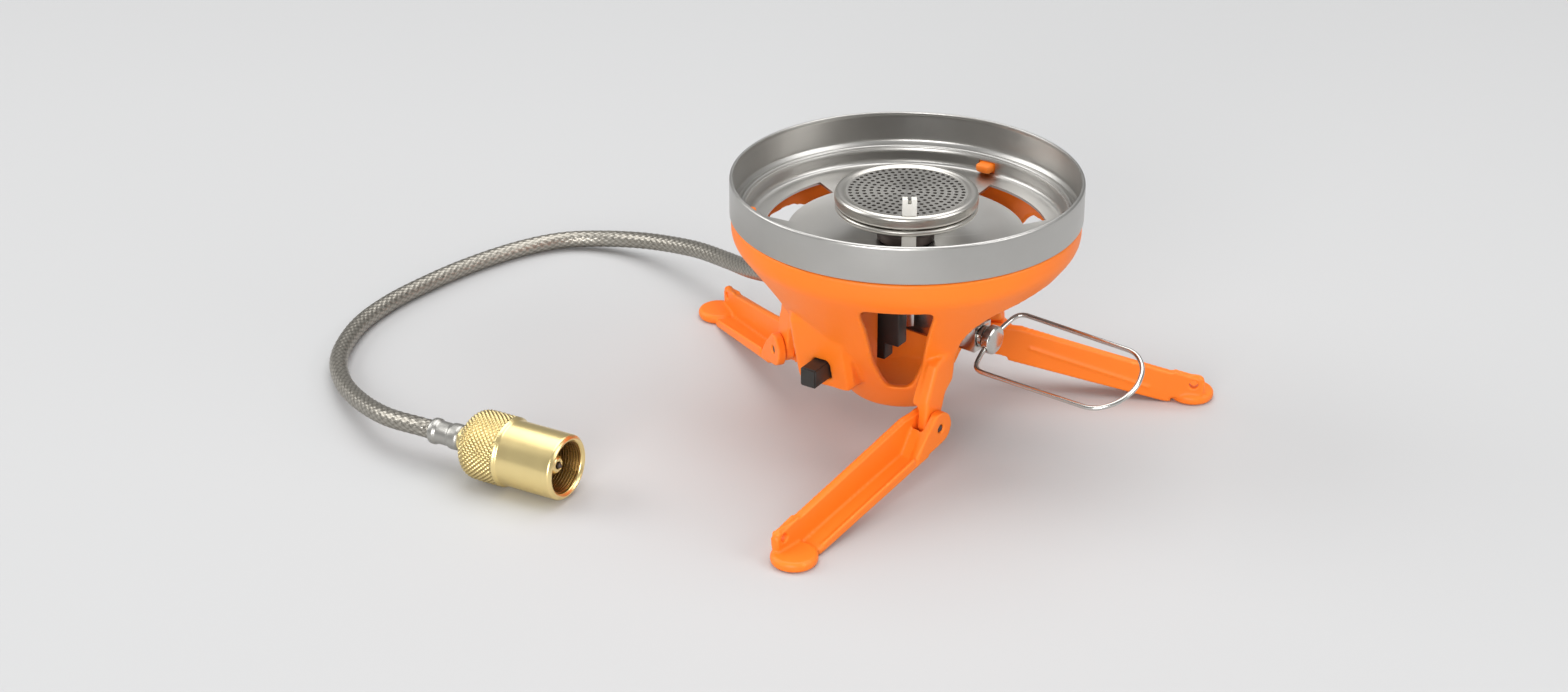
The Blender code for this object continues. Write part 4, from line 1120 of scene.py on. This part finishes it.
@dataclass
class Hose:
    """Braided fuel hose with a crimped ferrule at each end."""

    radius: float = 3.0
    ferrule_r: float = 4.1
    ferrule_l: float = 11.0
    inlet_x: float = -22.0
    spacing: float = 0.55
    path_spacing: float = 3.0
    groove: float = 0.28
    strands: int = 10
    weave: float = 330.0
    route: tuple[Point3, ...] = (
        (-54.0, 5.5, 20.0), (-75.0, 17.0, 11.5), (-96.0, 28.6, 5.0), (-115.0, 35.6, 1.0),
        (-131.5, 39.0, -2.5), (-147.0, 39.6, -5.5), (-162.5, 35.5, -7.8), (-174.0, 26.5, -8.7),
        (-181.0, 11.0, -9.0), (-184.5, -10.0, -9.0), (-185.0, -30.0, -9.0), (-183.5, -49.0, -9.0),
        (-178.0, -68.0, -8.9), (-166.0, -87.0, -8.6), (-151.0, -99.5, -7.8), (-133.0, -108.5, -5.6),
        (-114.0, -114.5, -2.6),
    )

    def centreline(self, spacing: float) -> np.ndarray:
        """The hose's line from the valve's ferrule to the connector's.

        Args:
            spacing: Distance between points in millimetres.

        Returns:
            Points in millimetres.
        """
        start = self.inlet_x - self.ferrule_l - 3 * GAP
        end = -SHANK_OUT - self.ferrule_l - 2 * GAP
        points = [(start - x, 0.0, STEM_Z) for x in (0.0, 2.5, 5.0)] + list(self.route)
        for x in (-5.0, -2.5, 0.0):
            points.append(tuple((CONNECTOR @ (Vector((end + x, 0.0, 0.0)) * MM)) / MM))
        return smooth_points(points, spacing)

    def ferrule(self, name: str, node: str, matrix: Matrix) -> Object:
        """Crimped sleeve that runs along local -X.

        Args:
            name: The piece's name.
            node: The CAD node that it stands for.
            matrix: Where its face lies.

        Returns:
            The piece.
        """
        r, length = self.ferrule_r, self.ferrule_l
        outline = [(r - 0.5, 0.0), (r, 0.6), (r, 3.4), (r - 0.5, 4.2), (r - 0.5, length - 2.6),
                   (r, length - 2.0), (r, length - 0.4), (r - 0.4, length)]
        shape = moved(lathe(rounded(outline, 0.5), 64), matrix @ spin(-90.0, "Y"))
        piece = finish_mesh(name, shape)
        return adopt(wear(piece, Look.SATIN), Body.STOVE, Slot.BRIGHT, node)

    def build(self, pieces: Sequence[Object]) -> None:
        """Args:
            pieces: The connector's pieces, which lie on its end; not used.
        """
        hose = tube("fuel_hose", self.centreline(self.spacing), self.radius, 60)
        sink_relief(hose, Look.BRAID, Relief.BRAID, self.groove, self.strands, self.weave)
        adopt(hose, Body.STOVE, Slot.BRAID, "hose")
        self.ferrule("valve_end_ferrule", "valve_ferrule",
                     shift(self.inlet_x - 2 * GAP, 0.0, STEM_Z))
        nut_end = self.ferrule("connector_end_ferrule", "nut_ferrule",
                               CONNECTOR @ shift(-SHANK_OUT - GAP))
        path = (self.centreline(self.path_spacing) * MM).tolist()


# ---- pot ring and burner
@dataclass
class PotRing:
    """Spun steel ring with a ledge, a bead and a slotted cone floor."""

    radius: float = 54.0
    top: float = 71.0
    ledge: float = 60.0
    well: float = 50.0
    well_z: float = 54.6
    floor_z: float = 50.0
    sheet: float = 0.8
    bead: float = 0.75
    hole_r: float = 8.4
    slot_r: Range = (36.5, 43.5)
    slot_azimuths: tuple[float, ...] = (67.0, 187.0, 307.0)
    slot_half: float = 21.5
    steps: int = 360
    sharp: float = 34.0

    def cone(self, radius: float, drop: float = 0.0) -> Point2:
        """Point of the cone floor at a radius, or below it."""
        return radius, self.floor_z + 0.5 + (radius - 22.0) / 23.0 * 3.8 - drop

    def profile(self) -> list[Point2]:
        """Closed outline of the sheet.

        Returns:
            (radius, height) points.
        """
        r, t, top, ledge, outer = self.radius, self.sheet, self.top, self.ledge, self.well
        inner, well, low, floor = r - t, outer - t, self.well_z, self.floor_z
        radii = [self.slot_r[1], self.slot_r[0], 33.0, 29.0, 25.0, 22.0]
        wall = [(r, ledge - t + 0.3), (r, top - 0.5), (r - 0.5, top), (inner - 0.3, top),
                (inner - 0.45, top - 0.6), (inner, top - 1.3), (inner, ledge + 1.2),
                (inner - 0.8, ledge)]
        down = [(well + 0.3, ledge - 0.1), (well, ledge - 0.9), (well, low + 1.6),
                (well - 0.5, low + 0.4), (well - 1.6, low), self.cone(45.0)]
        hole = [(19.0, floor + 0.35), (self.hole_r, floor), (self.hole_r, floor - t),
                (19.0, floor + 0.35 - t)]
        under = [(45.1, self.cone(45.0, t)[1]), (outer - 1.4, low - t), (outer, low + 1.0),
                 (outer, ledge - t), (r - 0.4, ledge - t)]
        line = rounded(wall, 0.5) + arc((well + self.bead + 0.6, ledge), self.bead, 0, 180, 12)
        line += rounded(down, 0.6) + [self.cone(x) for x in radii] + rounded(hole, 0.15)
        return line + [self.cone(x, t) for x in radii[::-1]] + rounded(under, 0.5)

    def in_slot(self, azimuth: float) -> bool:
        """Whether a direction lies in a slot."""
        return any(abs((azimuth - a + 180.0) % 360.0 - 180.0) < self.slot_half
                   for a in self.slot_azimuths)

    def build(self) -> None:
        """Makes the ring."""
        profile, count = self.profile(), self.steps
        shape = bmesh.new()
        turns = [0.5 + 360.0 * j / count for j in range(count)]
        rings = hoops(shape, profile, turns)
        around = range(len(profile))
        following = [(i + 1) % len(profile) for i in around]
        edges = [i for i in around if {profile[i][0], profile[following[i]][0]} == set(self.slot_r)]
        top, low = edges
        for j, azimuth in enumerate(turns):
            k = (j + 1) % count
            open_here = self.in_slot(azimuth + 0.5)
            pairs = [(i, following[i]) for i in around if not (open_here and i in edges)]
            if open_here:
                pairs += [(top, following[low]), (top + 1, low)]
            for a, b in pairs:
                shape.faces.new((rings[a][j], rings[a][k], rings[b][k], rings[b][j]))
            for side, other in ((j, azimuth - 0.5), (k, azimuth + 1.5)):
                if open_here and not self.in_slot(other):
                    shape.faces.new([rings[i][side] for i in (top, top + 1, low, low + 1)])
        ring = finish_mesh("spun_pot_ring", shape, self.sharp)
        for azimuth in TAB_AZIMUTHS:
            carve(ring, locking_tab(azimuth, GAP, 0.2))
        carve(ring, insulator_room())
        crisp(wear(ring, Look.SPUN).data, self.sharp)
        adopt(ring, Body.STOVE, Slot.BRUSHED, "pot_ring")


@dataclass
class Burner:
    """Round burner head with a perforated plate, on its mixing tube."""

    radius: float = 22.0
    top: float = 66.4
    roll: float = 1.6
    plate_r: float = 18.6
    plate_t: float = 0.45
    head_h: float = 4.2
    cup_h: float = 5.6
    neck_r: float = 7.6
    neck_low: float = 50.0
    tube_r: float = 6.6
    hole_r: float = 0.66
    hole_pitch: float = 2.16
    outer_row: float = 17.3
    rows: int = 8
    guard: float = 2.9
    # Radius within which the cup is painted dark as shade.
    painted_shade_r: float = 14.0
    sharp: float = 38.0

    def plate(self) -> Object:
        """Round plate with a ring-shaped pattern of gas holes, which spares the insulator.

        Returns:
            The plate about its own middle.
        """
        spared = polar(INSULATOR_AZIMUTH, INSULATOR_R)
        points = []
        for row in range(self.rows):
            radius = self.outer_row - row * self.hole_pitch
            count = max(6, round(2 * math.pi * radius / self.hole_pitch))
            for i in range(count):
                spot = polar(360.0 * (i + 0.5 * (row % 2)) / count, radius)
                if (spot - spared).length > self.guard * MM:
                    points.append(spot)
        mesh = bpy.data.meshes.new("gas_holes")
        mesh.from_pydata(points, [], [])
        g = GeometryGraph("perforated_plate", {
            "Plate Radius": self.plate_r * MM, "Hole Radius": self.hole_r * MM,
            "Sheet": self.plate_t * MM, "Hole Corners": 10, "Rim Corners": 128})
        rim, hole = (g.geo("CurvePrimitiveCircle", {"Resolution": g.entry[f"{name} Corners"],
                                                    "Radius": g.entry[f"{size} Radius"]})
                     for name, size in (("Rim", "Plate"), ("Hole", "Hole")))
        copies = g.geo("InstanceOnPoints", {"Points": g.entry["Geometry"], "Instance": hole})
        curves = g.join(g.geo("RealizeInstances", {0: copies}), rim)
        flat = g.geo("FillCurve", {0: curves}, mode="TRIANGLES")
        down = g.out("ShaderNodeCombineXYZ", {2: g.times(g.entry["Sheet"], -1.0)})
        lower = g.geo("ExtrudeMesh", {"Mesh": flat, "Offset": down, "Offset Scale": 1.0,
                                      "Individual": False}, mode="FACES")
        whole = g.geo("MergeByDistance", {0: g.join(lower, flat), "Distance": 1e-6})
        return g.run(linked("gas_holes", mesh), whole, Look.HEAD)

    def cap(self) -> None:
        """Rolled rim, perforated plate and a dark disc under it, painted shade that shows through
        the gas holes.
        """
        top, roll, r, p = self.top, self.roll, self.radius, self.plate_r
        low, floor = top - self.head_h, top - 2.5
        rim = rounded([(r - 2.4, low), (r - 0.6, low), (r, low + 0.7), (r, top - roll)], 0.4)
        rim += arc((r - roll, top - roll), roll, 8, 90, 14)
        rim += rounded([(p + 1.0, top - 0.1), (p + 0.35, top - 0.55), (p - 0.2, top - 0.7),
                        (p - 0.4, top - 1.1), (p - 0.4, top - 2.6)], 0.3)
        cap = finish_mesh("burner_head_cap", lathe(rim, 200, True))
        carve(cap, insulator_room())
        plate = self.plate()
        plate.data.transform(shift(0.0, 0.0, top - 0.62))
        # A thin disc in dark steel under the plate: painted shade for the inside of the head, seen
        # through the holes.
        painted_shade_disc = finish_mesh("painted_shade_disc", lathe([(p - 0.3, floor + 0.3), (p - 0.3, floor)]))
        joined = bmesh.new()
        for part, index in ((cap, 0), (plate, 0), (painted_shade_disc, 1)):
            before = len(joined.faces)
            joined.from_mesh(part.data)
            for face in list(joined.faces)[before:]:
                face.material_index = index
            bpy.data.objects.remove(part, do_unlink=True)
        whole = finish_mesh("perforated_burner_cap", joined, self.sharp)
        indices = [face.material_index for face in whole.data.polygons]
        wear(whole, Look.HEAD, Look.DARK_STEEL_AND_SHADE).data.polygons.foreach_set("material_index", indices)
        adopt(whole, Body.STOVE, Slot.BRUSHED, "burner_cap")

    def cup(self) -> None:
        """Lower half of the head, with its bead and neck."""
        top = self.top - self.head_h - GAP
        low, r, n = top - self.cup_h, self.radius, self.neck_r
        bore, end = self.tube_r + GAP, self.neck_low + GAP
        outline = [(r - 0.6, top), (r, top - 0.8), (r - 0.5, top - 1.8), (r - 3.0, top - 3.0),
                   (n + 4.0, low + 0.6), (n + 1.2, low), (n + 1.2, low - 1.6), (n + 0.7, low - 2.0),
                   (n + 1.2, low - 2.4), (n + 1.2, end), (bore, end), (bore, low + 1.2),
                   (n + 4.2, low + 1.8), (r - 3.0, top - 1.8), (r - 2.4, top)]
        cup = finish_mesh("burner_head_cup", lathe(rounded(outline, 0.7, True), 160, True))
        carve(cup, insulator_room())
        crisp(wear(cup, Look.HEAD, Look.DARK_STEEL_AND_SHADE).data, self.sharp)
        # Faces near the axis, on the neck and inside the cup under the head, take the dark steel as
        # painted shade.
        for face in cup.data.polygons:
            in_painted_shade = math.hypot(face.center.x, face.center.y) < self.painted_shade_r * MM
            face.material_index = int(in_painted_shade)
        adopt(cup, Body.STOVE, Slot.BRUSHED, "burner_cup")

    def build(self) -> None:
        """Makes the head and dresses the tube below it."""
        self.cap()
        self.cup()
        refine("electrode_insulator", "ceramic_insulator", 0.18, Look.CERAMIC, Slot.CERAMIC)
        keep(mixing_tube=Look.DARK_STEEL_AND_SHADE, burner_nut=Look.DARK_STEEL_AND_SHADE, jet=Look.BRASS, electrode=Look.BRIGHT)


# ---- casing and legs
@dataclass(frozen=True)
class LegHinge:
    """Where a leg's hinge lies."""

    azimuth: float
    along: float = 25.5
    offset: float = 29.5

    def matrix(self) -> Matrix:
        """Puts local +X towards the foot and +Y outward, with the origin on the pin."""
        return spin(self.azimuth, "Z") @ shift(self.along, self.offset, HINGE_Z)


HINGES = {"rear": LegHinge(149.1), "front": LegHinge(269.1), "right": LegHinge(29.1)}
IGNITER = spin(276.2, "Z") @ shift(0.0, -9.0, 0.0)


@dataclass
class Casing:
    """Moulded funnel with windows, igniter housing, leg tongues and locking tabs."""

    wall: float = 2.2
    skirt_r: float = 53.6
    skirt_low: float = 53.0
    rim_z: float = 58.9
    cup_r: float = 16.0
    cup_floor: float = 2.2
    steps: int = 240
    face: float = 33.0
    housing_w: float = 20.4
    housing_z: Range = (10.6, 37.0)
    lean: float = 5.4
    cutter_r: Range = (10.5, 72.0)
    front_azimuth: float = 303.0
    front: tuple[Point2, ...] = (
        (-8.0, 11.3), (-12.9, 21.0), (-12.6, 48.0), (13.8, 48.0), (13.2, 20.0), (9.8, 11.3))
    arch: tuple[Point2, ...] = (
        (51.0, 39.0), (47.5, 47.3), (31.0, 47.3), (26.0, 45.8), (-24.0, 45.6), (-43.0, 42.0),
        (-51.0, 34.0))
    sills: tuple[tuple[float, tuple[Point2, ...]], ...] = (
        (144.0, ((30.0, 13.6), (44.0, 16.5), (51.0, 24.0))),
        (24.0, ((38.0, -1.0), (42.5, 7.0), (51.0, 20.0))),
    )
    voxel: float = 0.66

    def funnel(self) -> Object:
        """Plain funnel before anything is cut.

        Returns:
            The object.
        """
        s, low, cup, wall = self.skirt_r, self.skirt_low, self.cup_r, self.wall
        outer = [(s, self.rim_z), (s, low + 1.0), (s - 0.9, low - 1.8), (s - 4.6, low - 6.6),
                 (40.6, 35.0), (34.8, 25.0), (25.0, 11.0), (cup + 3.0, 3.0), (cup + 1.4, 1.0),
                 (cup, 0.0)]
        inner = [(cup - 1.2, self.cup_floor), (cup + 1.2, 4.0), (25.0 - wall, 12.1),
                 (34.8 - wall, 26.1), (40.6 - wall, 36.1), (46.4, 45.6), (50.3, 52.0),
                 (50.3, self.rim_z)]
        line = rounded(outer, [0.3, 2.5, 2.5, 6.0, 6.0, 6.0, 6.0, 1.6, 1.2, 0.4], steps=6)
        shape = bmesh.new()
        turns = [360.0 * j / self.steps for j in range(self.steps)]
        rings = hoops(shape, line + rounded(inner, 4.0, steps=6), turns)
        seam = len(line)
        for part in (rings[:seam], rings[seam:], [rings[-1], rings[0]]):
            bridge(shape, part)
        for ring in (rings[seam - 1], rings[seam]):
            shape.faces.new(ring)
        return finish_mesh("moulded_casing", shape)

    def window(self, middle: float, corners: Sequence[Point2], reach: float) -> BMesh:
        """Cutter for a rounded opening in the funnel.

        Args:
            middle: Its azimuth in degrees.
            corners: (azimuth from the middle, height) corners.
            reach: Rounding of the corners.

        Returns:
            The bmesh.
        """
        outline = rounded(corners, reach, True, 8)
        fine: list[Point2] = []
        for (a, z), (b, y) in zip(outline, outline[1:] + outline[:1]):
            parts = max(1, math.ceil(abs(b - a) / 4.0))
            fine += [(a + (b - a) * t / parts, z + (y - z) * t / parts) for t in range(parts)]
        shape = bmesh.new()
        rings = [[shape.verts.new(polar(middle + a, r, z)) for a, z in fine] for r in self.cutter_r]
        bridge(shape, rings)
        height = float(np.mean([z for _, z in corners]))
        for ring, radius in zip(rings, self.cutter_r):
            fan(shape, ring, polar(middle, radius, height))
        return shape

    def add_igniter_housing(self, body: Object) -> None:
        """Adds the leaning housing of the igniter.

        Args:
            body: The casing.
        """
        low, high = self.housing_z
        back, out, half = self.face - 17.0, self.face + self.lean, self.housing_w / 2
        side = [(back, low), (self.face - 0.8, low), (out, high - 3.5), (out - 2.0, high),
                (back, high)]
        fuse(body, moved(prism(side, -half, half, 1.3), IGNITER))

    def cut_igniter_room(self, body: Object) -> None:
        """Cuts the spark module's pocket and the button's way out.

        Args:
            body: The casing.
        """
        outer, inner = self.face - self.wall, 9.0 - GAP
        size = (outer - inner, 8.0 + 2 * GAP, 13.5 + 2 * GAP)
        carve(body, moved(block(size, ((outer + inner) / 2, 0.0, 19.65)), IGNITER))
        carve(body, moved(block((3 * self.wall, 6.1, 6.8), (self.face, 0.0, 17.2)), IGNITER))

    def build(self) -> None:
        """Makes the casing."""
        body = self.funnel()
        for azimuth, sill in self.sills:
            near = tuple((-turn, height) for turn, height in reversed(sill))
            carve(body, self.window(azimuth, sill + self.arch + near, 3.4))
        carve(body, self.window(self.front_azimuth, self.front, 3.8))
        self.add_igniter_housing(body)
        low, half = LUG_R + 1.2, TONGUE_T / 2
        arm = [(-2.5, 20.5), (2.6, low + 2.6), (3.0, low), (-3.5, low), (-10.0, low + 5.6),
               (-11.0, 22.0)]
        tongue = [(-7.0, 21.0), (-6.0, 8.0), *arc((0.0, 0.0), 3.8, 170, 370, 21), (3.2, 9.0),
                  (-1.0, 19.5)]
        for hinge in HINGES.values():
            fuse(body, moved(prism(arm, -4.4, half - 0.1), hinge.matrix()))
            fuse(body, moved(prism(tongue, -half, half), hinge.matrix()))
        for azimuth in TAB_AZIMUTHS:
            fuse(body, locking_tab(azimuth, 0.0, 0.5))
        self.cut_igniter_room(body)
        for hinge in HINGES.values():
            bore = lathe([(1.4, -8.0), (1.4, 8.0)], 32)
            carve(body, moved(bore, hinge.matrix() @ spin(90.0, "X")))
        moulded(body, self.voxel, 4)
        adopt(wear(body, Look.ORANGE), Body.STOVE, Slot.ORANGE, "casing")


@dataclass
class Leg:
    """Folding leg: tall web on a flange, lug and cheek at the hinge, oval foot and ear."""

    reach: float = 71.5
    flange_w: float = 9.4
    flange_t: float = 2.2
    lug_t: float = 2.7
    foot_w: float = 14.0
    foot_l: float = 14.0
    foot_side: float = 1.0
    ear_r: float = 1.4
    pin_r: float = 1.4
    voxel: float = 0.42

    def shape(self, name: str) -> Object:
        """One leg about its own hinge.

        Args:
            name: The object's name.

        Returns:
            The object.
        """
        drop, r, t = FLOOR_Z - HINGE_Z, LUG_R, self.flange_t
        inner = TONGUE_T / 2 + GAP
        outer = inner + self.lug_t
        foot_x, half = self.reach - self.foot_l / 2, self.foot_w / 2
        heel, toe, ear_z, under = foot_x - self.foot_l / 2, foot_x + 4.0, drop + 10.0, -r - 0.1
        web = [(0.0, r), (9.0, r - 0.4), (heel, ear_z + 0.5), (heel + 1.5, ear_z),
               (toe - 2.5, ear_z), *arc((toe - 2.5, ear_z - 2.5), 2.5, 70, 0, 8),
               (toe, drop + 1.0), (heel - 0.5, drop + 1.0), (0.0, -r),
               *arc((0.0, 0.0), r, 255, 105, 24)]
        flange = [(r, under), (heel + 0.5, drop + t), (heel + 0.5, drop), (heel - 1.5, drop),
                  (r, under - t)]
        lip = [(r + 7.0, under + 0.4), (heel - 2.0, drop + t + 1.1), (heel - 2.0, drop + 1.0),
               (r + 7.0, under - 2.0)]
        foot = [(half - 0.6, drop), (half, drop + 0.8), (half, drop + 2.4),
                (half - 0.8, drop + 3.2)]
        lug = [*arc((0.0, 0.0), r, 60, 250, 24), (r + 2.8, under - t), (r + 6.8, under - 0.9),
               (r + 1.8, 0.0)]
        link = [(r + 1.0, 1.0), (r + 1.0, under - 1.7), (r + 6.8, under - 2.1)]
        rib = [(12.0, -1.6), (heel - 6.0, ear_z - 4.6), (heel - 6.0, ear_z - 5.8), (12.0, -3.0)]
        leg = finish_mesh(name, prism(web, -outer, -inner, 0.9))
        fuse(leg, prism(flange, outer - self.flange_w, outer, 0.5))
        fuse(leg, prism(lip, outer - 1.1, outer, 0.4))
        fuse(leg, moved(lathe(rounded(foot, 0.4), 72), shift(foot_x, self.foot_side)))
        fuse(leg, prism(lug, inner, outer, 0.5))
        fuse(leg, prism(link, -inner - 0.5, outer - 0.5))
        fuse(leg, prism(rib, -outer - 0.35, -inner, 0.3))
        for radius, place in ((self.ear_r, shift(foot_x + 0.5, 0.0, ear_z - 3.1)),
                              (self.pin_r, shift())):
            drill = lathe([(radius, -12.0), (radius, 12.0)], 32)
            carve(leg, moved(drill, place @ spin(90.0, "X")))
        moulded(leg, self.voxel, 3)
        return leg

    def build(self) -> None:
        """Makes the three legs from one shape."""
        first = self.shape("moulded_leg")
        for name, hinge in HINGES.items():
            mesh = first.data.copy()
            mesh.transform(hinge.matrix())
            leg = wear(linked(f"moulded_leg_{name}", mesh), Look.ORANGE)
            adopt(leg, Body(f"{name}_leg"), Slot.ORANGE, f"leg_{name}")
            keep(**{f"hinge_pin_{name}": Look.DARK_STEEL_AND_SHADE})
        bpy.data.objects.remove(first, do_unlink=True)


# ---- valve and igniter
@dataclass
class WireHandle:
    """Folding handle of bright wire."""

    wire_r: float = 0.75
    roll: float = 23.0
    pivot: float = 2.6
    half_w: float = 12.9
    elbow: float = 1.6
    arm: float = 44.0
    tip: float = 51.5
    disc_x: float = 33.4
    disc_half: float = 4.5
    bend: float = 3.4

    def route(self) -> np.ndarray:
        """Wire's line in its own plane.

        Returns:
            Points in millimetres, on local X and Y.
        """
        half = [(0.0, self.pivot), (0.0, self.disc_half + 1.2), (self.elbow, self.half_w),
                (self.arm, self.half_w - 0.5),
                (self.arm + 0.72 * (self.tip - self.arm), self.half_w * 0.58)]
        corners = half + [(self.tip, 0.0)] + [(x, -y) for x, y in reversed(half)]
        flat = np.array([(x, y, 0.0) for x, y in rounded(corners, self.bend, steps=9)])
        keep_point = np.concatenate(([True], np.linalg.norm(np.diff(flat, axis=0), axis=1) > 1e-4))
        return flat[keep_point]

    def build(self) -> None:
        """Makes the wire."""
        wire = tube("bent_wire_handle", self.route(), self.wire_r, 20)
        wire.data.transform(shift(self.disc_x, 0.0, STEM_Z) @ spin(self.roll, "X"))
        adopt(wear(wire, Look.BRIGHT), Body.HANDLE, Slot.BRIGHT, "wire_handle")


@dataclass
class Valve:
    """Valve body with its stem, gland, disc and inlet."""

    edge: float = 0.35
    disc_edge: float = 0.3

    def build(self) -> None:
        """Makes the seen pieces finer and dresses the rest."""
        refine("valve_body", "squared_valve_body", self.edge, Look.BRIGHT, Slot.BRIGHT)
        refine("stem_disc", "oval_stem_disc", self.disc_edge, Look.BRIGHT, Slot.BRIGHT, Body.STEM)
        refine("hose_inlet", "hexagonal_inlet", self.edge, Look.BRASS, Slot.BRASS)
        keep(lock_screw=Look.DARK_STEEL_AND_SHADE, valve_stem=Look.BRIGHT, stem_seal=Look.RUBBER,
             stem_gland=Look.BRIGHT)


@dataclass
class Igniter:
    """Push button, spark module and its lead."""

    button_edge: float = 0.18
    module_edge: float = 0.3

    def build(self) -> None:
        """Makes the button and module finer and dresses the lead."""
        refine("igniter_button", "square_push_button", self.button_edge, Look.BLACK, Slot.BLACK,
               Body.BUTTON)
        refine("spark_module", "boxed_spark_module", self.module_edge, Look.BLACK, Slot.BLACK)
        keep(ignition_lead=Look.RUBBER)


def main() -> None:
    """Builds the studio and the stove, piece by piece."""
    logging.basicConfig(level=logging.INFO, format="%(name)s: %(message)s")
    studio = Studio()
    studio.shoot()
    Hose().build(Connector().build())
    for assembly in (PotRing(), Burner(), Casing(), Leg(), WireHandle(), Valve(), Igniter()):
        LOG.info("building %s", type(assembly).__name__)
        assembly.build()
    studio.light()


if __name__ == "__main__":
    main()
